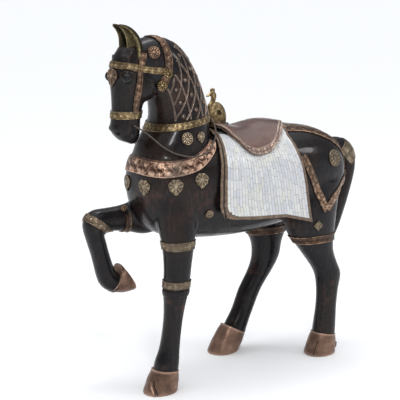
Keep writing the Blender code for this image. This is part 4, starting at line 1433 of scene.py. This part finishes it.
def set_eyes():
    """Glossy black eyeballs under carved lids."""
    for side_name, side in SIDES.items():
        bm = bmesh.new()
        bmesh.ops.create_uvsphere(bm, u_segments=32, v_segments=20, radius=EYEBALL_RADIUS)
        place = Matrix.Translation(sided(EYEBALL, side))
        bmesh.ops.transform(bm, matrix=place, verts=bm.verts)
        piece("eyeball_" + side_name, bm, "painted_wood", coat=GLOSS)


def trim_feet(body):
    """Cut the legs flat inside their hooves."""
    bm = opened(body)
    for side, coronet, _ in HOOVES.values():
        x, z, tilt, half = coronet
        turn = math.radians(tilt)
        down = Vector((math.sin(turn), 0, -math.cos(turn)))
        place = at(x, side, z) + down * FOOT_CUT
        leg = [vert for vert in bm.verts if abs(vert.co.y - place.y) < FOOT_ASIDE]
        near = [vert for vert in leg if (vert.co - place).length < FOOT_REACH]
        faces = {face for vert in near for face in vert.link_faces}
        edges = {edge for face in faces for edge in face.edges}
        geom = list(near) + list(edges) + list(faces)
        bmesh.ops.bisect_plane(bm, geom=geom, plane_co=place, plane_no=down, clear_outer=True)
    loose = [vert for vert in bm.verts if not vert.link_faces]
    bmesh.ops.delete(bm, geom=loose, context="VERTS")
    bmesh.ops.holes_fill(bm, edges=[edge for edge in bm.edges if edge.is_boundary])
    bmesh.ops.recalc_face_normals(bm, faces=bm.faces)
    written(bm, body)
    body.data.shade_smooth()


# Walls of a hoof: share from sole to coronet, swelling, and the painted highlight, strongest on the rolled
# edges
HOOF_WALL = [
    (0.0, 0.95, 0.5),
    (0.03, 1.0, 0.9),
    (0.08, 1.03, 0.5),
    (0.18, 1.035, 0.35),
    (0.28, 1.035, 0.35),
    (0.38, 1.035, 0.35),
    (0.48, 1.035, 0.35),
    (0.58, 1.03, 0.35),
    (0.68, 1.02, 0.35),
    (0.78, 1.005, 0.35),
    (0.86, 0.985, 0.35),
    (0.92, 0.975, 0.45),
    (0.95, 0.985, 0.75),
    (0.98, 0.99, 0.9),
    (1.0, 0.94, 0.5),
]


TEAR = [(-25.5, -12.0, 4.9), (-25.0, -12.6, 2.8), (-24.1, -13.4, 0.3)]
TEAR_LAP = [(-26.0, -11.4, 4.7), (-25.6, -12.0, 2.7), (-24.7, -12.9, 0.3)]
SEAM = [(36.4, -13.4, 5.6), (35.6, -13.2, 3.2), (35.0, -12.8, 0.4)]
HEEL_TAB = [(44.4, -12.9, 3.6), (44.6, -12.8, 2.4), (44.7, -12.6, 1.6)]

# Torn and lapped places: hoof, route on the sheet, width, relief and its height
HOOF_MARKS = [
    ("hoof_fore_left", TEAR, 0.005, cushion_relief, 0.0002),
    ("hoof_fore_left", TEAR_LAP, 0.008, fold_relief, 0.0030),
    ("hoof_hind_left", SEAM, 0.0035, cushion_relief, 0.0002),
    ("hoof_hind_left", HEEL_TAB, 0.010, fold_relief, 0.0045),
]


def shoe_hooves():
    """Sheet-copper hooves with dents, from a rolled coronet down to a flat sole."""
    for name, (side, coronet, sole) in HOOVES.items():
        top = [coronet[0], side, coronet[1], coronet[2], coronet[3], CORONET_WIDTH]
        base = [sole[0], side, sole[1], sole[2], sole[3], HOOF_WIDTH]
        bm = bmesh.new()
        lift = bm.verts.layers.float.new("lift")
        rings = []
        for share, swell, painted_shine in HOOF_WALL:
            row = [a + (b - a) * share for a, b in zip(base, top)]
            row[4] *= swell
            row[5] *= swell
            ring = oval(bm, row, HOOF_SIDES)
            rings.append(ring)
            middle = at(*row[:3])
            for vert in {vert for edge in ring for vert in edge.verts}:
                flat = share in (0.0, 1.0)
                dent = 0.0 if flat else noise.noise(vert.co * HOOF_DENT_GRAIN) * HOOF_DENT
                vert.co += (vert.co - middle).normalized() * dent
                vert[lift] = painted_shine
        bridged(bm, rings)
        hoof = piece(name + "_sheet", bm, "hoof_copper", (name,))
        skin = Skin(hoof)
        for i, (owner, rows, width, relief, embossing) in enumerate(HOOF_MARKS):
            if owner == name:
                route = Strap(skin, drawn_on(skin, rows))
                coat = GLOSS if relief is cushion_relief else None
                mark = f"hoof_mark_{i}"
                form = {"height": HOOF_MARK_HEIGHT, "embossing": embossing}
                band(mark, route, width, relief, "hoof_copper", (), coat, **form)


def shape_ears():
    """Brass horns, hollow in front, with forward-curled tips and a painted highlight down the hollow."""
    for side_name, side in SIDES.items():
        bm = bmesh.new()
        lift = bm.verts.layers.float.new("lift")
        rings = []
        for row in curve_through(on_side(EAR, side), EAR_RINGS):
            ring = oval(bm, row, EAR_SIDES, 2.0)
            rings.append(ring)
            middle = at(*row[:3])
            front = Vector((EAR_FRONT[0], EAR_FRONT[1] * side, 0.0)).normalized()
            for vert in {vert for edge in ring for vert in edge.verts}:
                out = (vert.co - middle).normalized()
                facing = out.dot(front)
                hollow = smooth_step((facing - EAR_EDGE) / EAR_EDGE)
                vert.co = vert.co.lerp(middle, EAR_HOLLOW * hollow)
                # Painted highlight: lighter inside the hollow and brightest in a stripe along its edge
                vert[lift] = 0.08 + 0.40 * hollow + 0.60 * bell(facing - EAR_EDGE, EAR_HIGHLIGHT_WIDTH)
        bridged(bm, rings)
        piece("horn_ear_" + side_name, bm, "aged_brass", ("ear_" + side_name,), coat=OLIVE_BRASS)


# The harness


def collar_width(share):
    return COLLAR_WIDTH + (COLLAR_END_WIDTH - COLLAR_WIDTH) * abs(2 * share - 1) ** 3


def croup_width(share):
    return CROUP_STRAP_WIDTH * (1.15 - 0.60 * share**1.6)


def buckle_harness(skin):
    for name, (place, width, span) in RINGS.items():
        reach = ARC_REACH if span != (0, 360) else RING_REACH
        copper = name in ("band_fore_right_upper", "band_hind_left", "band_hind_right")
        relief = plain_relief if copper else knee_relief
        finish = "aged_copper" if copper else "aged_brass"
        coat = BRONZE if name.startswith("band_fore") and not copper else None
        band(name + "_relief", Ring(skin, place, span, reach), width, relief, finish, (name,), coat)
    throat = Strap(skin, drawn_on(skin, across_middle(THROAT_BAND)))
    band("throat_band_relief", throat, THROAT_WIDTH, bridle_relief, "aged_copper", ("throat_band",))
    brow = Strap(skin, drawn_on(skin, across_middle(BROWBAND)))
    band("browband_relief", brow, BRIDLE_WIDTH, bridle_relief, "aged_brass", ("browband",))
    collar = Strap(skin, drawn_on(skin, across_middle(COLLAR)))
    node = "breast_collar"
    band(node + "_relief", collar, collar_width, collar_relief, "aged_copper", (node,), ROSE_COPPER)
    for side_name, side in SIDES.items():
        for node, rows, width, relief, finish in (
            ("crown_strap", CROWN_STRAP, BRIDLE_WIDTH, bridle_relief, "aged_copper"),
            ("cheek_strap", CHEEK_STRAP, BRIDLE_WIDTH, bridle_relief, "aged_copper"),
            ("croup_strap", CROUP_STRAP, croup_width, croup_relief, "aged_copper"),
            ("hip_strap_front", HIP_STRAP_FRONT, HIP_STRAP_WIDTH, strap_relief, "aged_copper"),
            ("hip_strap_rear", HIP_STRAP_REAR, HIP_STRAP_WIDTH, strap_relief, "aged_copper"),
        ):
            name = f"{node}_{side_name}"
            route = Strap(skin, drawn_on(skin, on_side(rows, side)))
            band(name + "_relief", route, width, relief, finish, (name,))


def nail_rosettes(skin):
    for side_name, side in SIDES.items():
        for name, (x, y, z, radius) in ROSETTES.items():
            node = f"{name}_{side_name}"
            coat = None if name == "rosette_jaw" else BRONZE
            spot = sided((x, y, z), side)
            outline = diamond if name == "rosette_flank" else even
            finish = "aged_copper" if name == "rosette_jaw" else "aged_brass"
            plate(node + "_relief", skin, spot, radius, outline, flower_relief, finish, (node,), coat)
        for name, (x, y, z, length) in PENDANTS.items():
            node = f"{name}_{side_name}"
            spot = sided((x, y, z), side)
            relief = node + "_relief"
            plate(relief, skin, spot, length, leaf_reach, leaf_relief, "aged_brass", (node,), BRONZE)
        for i, (x, y, z, radius) in enumerate(THROAT_ROSETTES):
            spot = sided((x, y, z), side)
            rosette = f"throat_rosette_{side_name}_{i}"
            low = {"height": THROAT_ROSETTE_HEIGHT}
            plate(rosette, skin, spot, radius, even, flower_relief, "aged_brass", (), **low)
    for node, place, size, outline, relief in (
        ("rosette_forearm", FOREARM_ROSETTE, SMALL_ROSETTE, even, flower_relief),
        ("pendant_brow", BROW_PENDANT, BROW_PENDANT_LENGTH, brow_reach, leaf_relief),
    ):
        plate(node + "_relief", skin, at(*place), size, outline, relief, "aged_copper", (node,))


def neck_spot(skin, section, degrees, side):
    """Spot on the neck at a section of the carving, turned from the crest towards the throat."""
    x, _, z, tilt, _, _ = curve_at(NECK, section)
    turn, angle = math.radians(tilt), math.radians(degrees)
    crest = Vector((math.cos(turn), 0, math.sin(turn)))
    start = at(x, 0, z)
    out = crest * math.cos(angle) + Vector((0, side * math.sin(angle), 0))
    return skin.tree.ray_cast(start, out, NECK_REACH)[0] or start + out * NECK_FALLBACK


def lattice_top(degrees):
    """Section of the neck where the throat band covers the lattice."""
    return LATTICE_HIGH - THROAT_SLANT * max(0.0, degrees - THROAT_BEGINS)


def lattice_lines():
    """Ends of each strip as (section, degrees) pairs, first along the crest and then across."""
    lines = []
    for k in range(LATTICE_ALONG):
        degrees = LATTICE_EDGE + LATTICE_STEP * k
        lines.append(((LATTICE_LOW, degrees), (lattice_top(degrees), degrees)))
    for start in LATTICE_STARTS:
        low = max(LATTICE_LOW, start - LATTICE_DEPTH / LATTICE_LEAN)
        high = start
        while high > lattice_top(LATTICE_EDGE + LATTICE_LEAN * (start - high)):
            high -= 0.02
        if high - low > 0.2:
            lines.append(tuple((t, LATTICE_EDGE + LATTICE_LEAN * (start - t)) for t in (low, high)))
    return lines


def weave_lattice(skin):
    """Twin-ridged strips crossing in long diamonds on the neck, a button in each diamond."""
    for side_name, side in SIDES.items():
        for i, (low, high) in enumerate(lattice_lines()):
            spots = []
            for k in range(LATTICE_SPOTS + 1):
                section = low[0] + (high[0] - low[0]) * k / LATTICE_SPOTS
                degrees = low[1] + (high[1] - low[1]) * k / LATTICE_SPOTS
                spots.append(neck_spot(skin, section, degrees, side))
            form = {
                "grain": LATTICE_GRAIN,
                "height": LATTICE_HEIGHT + LATTICE_OVERLAP * (i % 2),
                "embossing": LATTICE_EMBOSSING,
            }
            name, route = f"lattice_{side_name}_{i}", Strap(skin, spots)
            band(name, route, LATTICE_WIDTH, twin_relief, "aged_copper", (), NET_BRONZE, **form)
        count = 0
        for start in LATTICE_STARTS:
            for k in range(4):
                degrees = LATTICE_EDGE + LATTICE_STEP * (k + 0.5)
                section = start - (degrees - LATTICE_EDGE) / LATTICE_LEAN - LATTICE_RISE / 2
                if LATTICE_LOW + 0.15 < section < lattice_top(degrees) - 0.1:
                    spot = neck_spot(skin, section, degrees, side)
                    name = f"neck_button_{side_name}_{count}"
                    look = (even, button_relief, "aged_copper", (), NET_BRONZE)
                    plate(name, skin, spot, BUTTON_RADIUS, *look, **BUTTON)
                    count += 1


def crest_relief(s, w, half):
    return 0.5 * rim(w, half, 0.0016) + 0.3 * hammered(s, w, 0.02, 7.0)


def border_crest(skin):
    """The plain metal border over the crest, from poll to withers."""
    sections = [CREST_LOW + (CREST_HIGH - CREST_LOW) * k / CREST_SPOTS for k in range(CREST_SPOTS + 1)]
    route = Strap(skin, [neck_spot(skin, section, 0, 1) for section in sections])
    look = (crest_relief, "aged_copper", (), NET_BRONZE)
    band("crest_border", route, CREST_WIDTH, *look, **CREST_BORDER)


def sheathe_dock(skin):
    """Embossed brass round the root of the tail."""
    ring = Ring(skin, DOCK_RING, DOCK_SPAN, DOCK_REACH)
    band("dock_sheath", ring, DOCK_WIDTH, strap_relief, "aged_brass", (), BRONZE, **DOCK_SHEATH)


def ring_foreleg(skin):
    """A turned black ring below the knee band of the standing foreleg."""
    ring = Ring(skin, FORELEG_RING, (0, 360), RING_REACH)
    look = (cushion_relief, "painted_wood", ())
    band("foreleg_ring", ring, FORELEG_RING_WIDTH, *look, **FORELEG_RING_FORM)


# Cloth and saddle


class Fall:
    """The cloth's outer face: u runs from its front to its rear edge, fall from the spine to the hem."""

    def __init__(self, skin):
        self.skin = skin

    def place(self, x, fall, side, hem=None):
        y, z = curve_at(CLOTH_LINE, fall * (len(CLOTH_LINE) - 1))
        spot = self.skin.nearest(at(x, y * side, z))
        out = self.skin.facing(spot, 0.012)
        free = smooth_step((fall - FREE_FROM) / FREE_OVER)
        if hem is not None:
            z += (hem - CLOTH_LINE[-1][1]) * smooth_step((fall - 0.3) / 0.7)
        laid = spot + out * CLOTH_THICKNESS
        return laid.lerp(at(x, y * side, z), free), out.lerp(Vector((0, side, CLOTH_LEAN)), free).normalized()

    def point(self, u, fall, height):
        """Place on the cloth at a signed fall, raised by height above its outer face."""
        side = -1 if fall < 0 else 1
        fall = abs(fall)
        x = edge_at(CLOTH_FRONT, fall) * (1 - u) + edge_at(CLOTH_REAR, fall) * u
        spot, out = self.place(x, fall, side, edge_at(CLOTH_HEM, u))
        return spot + out * height


def panel_inset(u, v):
    """How far a place on the cloth lies inside the tiled panel, with its lower front corner rounded."""
    from_front = u * CLOTH_WIDTH - INNER_EDGE
    from_rear = (1 - u) * CLOTH_WIDTH - OUTER_EDGE
    from_hem = (1 - abs(v)) * CLOTH_LENGTH - HEM_EDGE
    inset = min(from_front, from_rear, from_hem)
    if from_front < CORNER and from_hem < CORNER:
        inset = min(inset, CORNER - math.hypot(CORNER - from_front, CORNER - from_hem))
    return inset


def inside_corner(u, v):
    """Draw a place in to the rounded lower front corner of the cloth."""
    aside = OUTER_CORNER - u * CLOTH_WIDTH
    below = OUTER_CORNER - (1 - abs(v)) * CLOTH_LENGTH
    reach = math.hypot(aside, below)
    if aside <= 0 or below <= 0 or reach <= OUTER_CORNER:
        return u, v
    share = OUTER_CORNER / reach
    u = (OUTER_CORNER - aside * share) / CLOTH_WIDTH
    fall = 1 - (OUTER_CORNER - below * share) / CLOTH_LENGTH
    return u, math.copysign(fall, v)


def strip_share(u, v):
    """0 under the tiles, 0.5 in the groove and 1 on the bronze strips."""
    inset = panel_inset(u, v)
    if inset > 0:
        return 0.0
    front = u * CLOTH_WIDTH
    if OUTER_EDGE < front < EDGE_GROOVE and inset < EDGE_GROOVE - INNER_EDGE:
        return 0.5
    return 1.0


def lay_cloth(fall):
    """The stiff sheet under the tiles, with rounded bronze strips along its edges."""
    bm = bmesh.new()
    strip = bm.verts.layers.float.new("strip")
    bmesh.ops.create_grid(bm, **CLOTH_GRID, size=0.5)
    for vert in bm.verts:
        u, v = vert.co.x + 0.5, vert.co.y * 2
        share = strip_share(u, v)
        vert[strip] = share
        u, v = inside_corner(u, v)
        vert.co = fall.point(u, v, STRIP_HEIGHTS[share])
    upwards(bm)
    sheet = piece("cloth_backing", bm, "pearl_tile", ("saddle_cloth",), coat=CLOTH_SHEET)
    solid_sheet(sheet, CLOTH_WALL)


def upwards(bm):
    """Make an open sheet's highest face look up."""
    bmesh.ops.recalc_face_normals(bm, faces=bm.faces)
    bm.normal_update()
    if max(bm.faces, key=lambda face: face.calc_center_median().z).normal.z < 0:
        bmesh.ops.reverse_faces(bm, faces=bm.faces)


def tile_rows(rng, u, step):
    """Falls at which one column of tiles is divided, from under the saddle to the panel's edge."""
    end = 1.0
    while panel_inset(u, end) < 0:
        end -= 0.001
    marks = [TILES_BEGIN, TILES_BEGIN + step * rng.uniform(0.2, 1.0)]
    while marks[-1] + step * 1.3 < end:
        marks.append(marks[-1] + step * rng.uniform(0.75, 1.2))
    if end - marks[-1] < step * 0.4:
        marks.pop()
    return marks + [end]


def set_tiles(fall):
    """Pearl tiles in columns, each column shifted against the next."""
    rng = random.Random(TILE_SEED)
    bm = bmesh.new()
    tone = bm.verts.layers.float.new("tone")
    first, last = INNER_EDGE / CLOTH_WIDTH, 1 - OUTER_EDGE / CLOTH_WIDTH
    columns = round((last - first) * CLOTH_WIDTH / TILE_WIDTH)
    wide = (last - first) / columns
    step = TILE_HEIGHT / CLOTH_LENGTH
    gap_u = TILE_JOINT / 2 / CLOTH_WIDTH
    gap_v = TILE_JOINT / 2 / CLOTH_LENGTH
    for side in SIDES.values():
        for i in range(columns):
            left, right = first + wide * i, first + wide * (i + 1)
            marks = tile_rows(rng, (left + right) / 2, step)
            for low, high in zip(marks, marks[1:]):
                shade = rng.random()
                raised = rng.uniform(*TILE_SWAY)
                for vert in bmesh.ops.create_cube(bm, size=1.0)["verts"]:
                    vert[tone] = shade
                    u = left + gap_u if vert.co.x < 0 else right - gap_u
                    v = low + gap_v if vert.co.y < 0 else high - gap_v
                    vert.co = (u, side * v, raised if vert.co.z > 0 else TILE_FOOT)
    upright = [edge for edge in bm.edges if abs(edge.verts[0].co.y - edge.verts[1].co.y) > 1e-6]
    bmesh.ops.subdivide_edges(bm, edges=upright, cuts=2, use_grid_fill=True)
    for vert in bm.verts:
        vert.co = fall.point(vert.co.x, vert.co.y, vert.co.z)
    bmesh.ops.recalc_face_normals(bm, faces=bm.faces)
    piece("pearl_tiles", bm, "pearl_tile", ("saddle_cloth",), smooth_angle=30)


def build_saddle(fall):
    """Flaps lying on the cloth, a seat dipped behind the pommel and an embossed border."""
    bm = bmesh.new()
    lift = bm.verts.layers.float.new("lift")
    bmesh.ops.create_grid(bm, **SADDLE_GRID, size=0.5)
    for vert in bm.verts:
        t, side_share = vert.co.x + 0.5, vert.co.y * 2
        x, arc, seat = curve_at(SADDLE, t * (len(SADDLE) - 1))
        side = -1 if side_share < 0 else 1
        reach = abs(side_share) * arc
        place, out = fall.place(x, reach / (CLOTH_LENGTH / CM), side)
        to_edge = min((arc - reach) * CM, t * SADDLE_END, (1 - t) * SADDLE_END)
        emboss = 0.0
        if to_edge < BORDER:
            emboss = vine((x + reach) * CM, to_edge - SCROLL_LINE, *SCROLL)
            for line, radius in (INNER_CORD, OUTER_CORD):
                emboss = max(emboss, 0.8 * dome(to_edge - line, radius))
        height = SADDLE_THICKNESS - (SADDLE_DROP if to_edge < SADDLE_RIM else 0) + SADDLE_RELIEF * emboss
        top = place + out * height
        crown = smooth_step(1 - reach / SEAT_REACH)
        top.z += (seat * CM - top.z) * crown
        vert[lift] = emboss
        vert.co = top
    upwards(bm)
    solid_sheet(piece("saddle_skin", bm, "saddle_copper", ("saddle",)), SADDLE_WALL)


def cast_peacock():
    """The brass bird on the pommel, pierced through its folded tail, with painted highlights on its outline
    and top.
    """
    shells = [loft(PEACOCK_BODY, 32, 24), loft(PEACOCK_NECK, 24, 40), loft(PEACOCK_FOOT, 32, 2)]
    shells += [lump((3.9 + 0.6 * k, 0, 85.8 - 0.2 * (k - 1) ** 2), PEACOCK_FEATHER_SIZE) for k in range(3)]
    wings = [on_side([PEACOCK_WING], side)[0] for side in SIDES.values()]
    shells += [lump(wing, PEACOCK_WING_SIZE) for wing in wings]
    bird = piece("peacock_casting", gathered(shells), "aged_brass", ("pommel_peacock",))
    melted(bird, PEACOCK_VOXEL, PEACOCK_SMOOTHING)
    bm = bmesh.new()
    reach = {"radius1": PEACOCK_HOLE, "radius2": PEACOCK_HOLE, "depth": 0.06}
    bmesh.ops.create_cone(bm, cap_ends=True, segments=32, **reach)
    turn = Matrix.Rotation(math.pi / 2, 4, "X")
    bmesh.ops.transform(bm, matrix=Matrix.Translation(at(*PEACOCK_EYE)) @ turn, verts=bm.verts)
    hole = linked("peacock_hole", mesh_of("peacock_hole", bm))
    cut = bird.modifiers.new("hole", "BOOLEAN")
    cut.object = hole
    cut.operation = "DIFFERENCE"
    baked(bird)
    bpy.data.objects.remove(hole, do_unlink=True)
    bm = opened(bird)
    lift = bm.verts.layers.float.get("lift") or bm.verts.layers.float.new("lift")
    # Painted highlight on the outline seen from the side and on the faces that look up; the colour goes dark
    # towards the foot
    for vert in bm.verts:
        edge = smooth_step((0.75 - abs(vert.normal.y)) / 0.5)
        foot = smooth_step((at(0, 0, PEACOCK_FOOT_TOP).z - vert.co.z) / 0.004)
        vert[lift] = (0.42 + 0.40 * edge + 0.25 * smooth_step(vert.normal.z)) * (1 - foot)
    written(bm, bird)


# The rein


def hang_rein():
    """One thin cord from the left corner of the mouth, over the withers, to the right corner."""
    route = on_side(REIN_SIDE, -1) + [REIN_TOP] + REIN_SIDE[::-1]
    points = [at(*row) for row in curve_through(route, REIN_POINTS)]
    curve = bpy.data.curves.new("rein_cord", "CURVE")
    curve.dimensions = "3D"
    curve.bevel_depth = REIN_DIAMETER / 2
    curve.bevel_resolution = 3
    curve.use_fill_caps = True
    spline = curve.splines.new("POLY")
    spline.points.add(len(points) - 1)
    for point, place in zip(spline.points, points):
        point.co = (*place, 1)
    curve.materials.append(FINISHES["dark_cord"])
    rein = linked("rein_cord", curve)
    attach(rein, "root")
    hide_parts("rein")


place_camera()
hang_rein()
light_studio()
lay_floor()
body = carve_body()
wood = Skin(body)
set_eyes()
shoe_hooves()
shape_ears()
buckle_harness(wood)
nail_rosettes(wood)
border_crest(wood)
weave_lattice(wood)
sheathe_dock(wood)
ring_foreleg(wood)
cloth_fall = Fall(wood)
lay_cloth(cloth_fall)
set_tiles(cloth_fall)
build_saddle(cloth_fall)
cast_peacock()
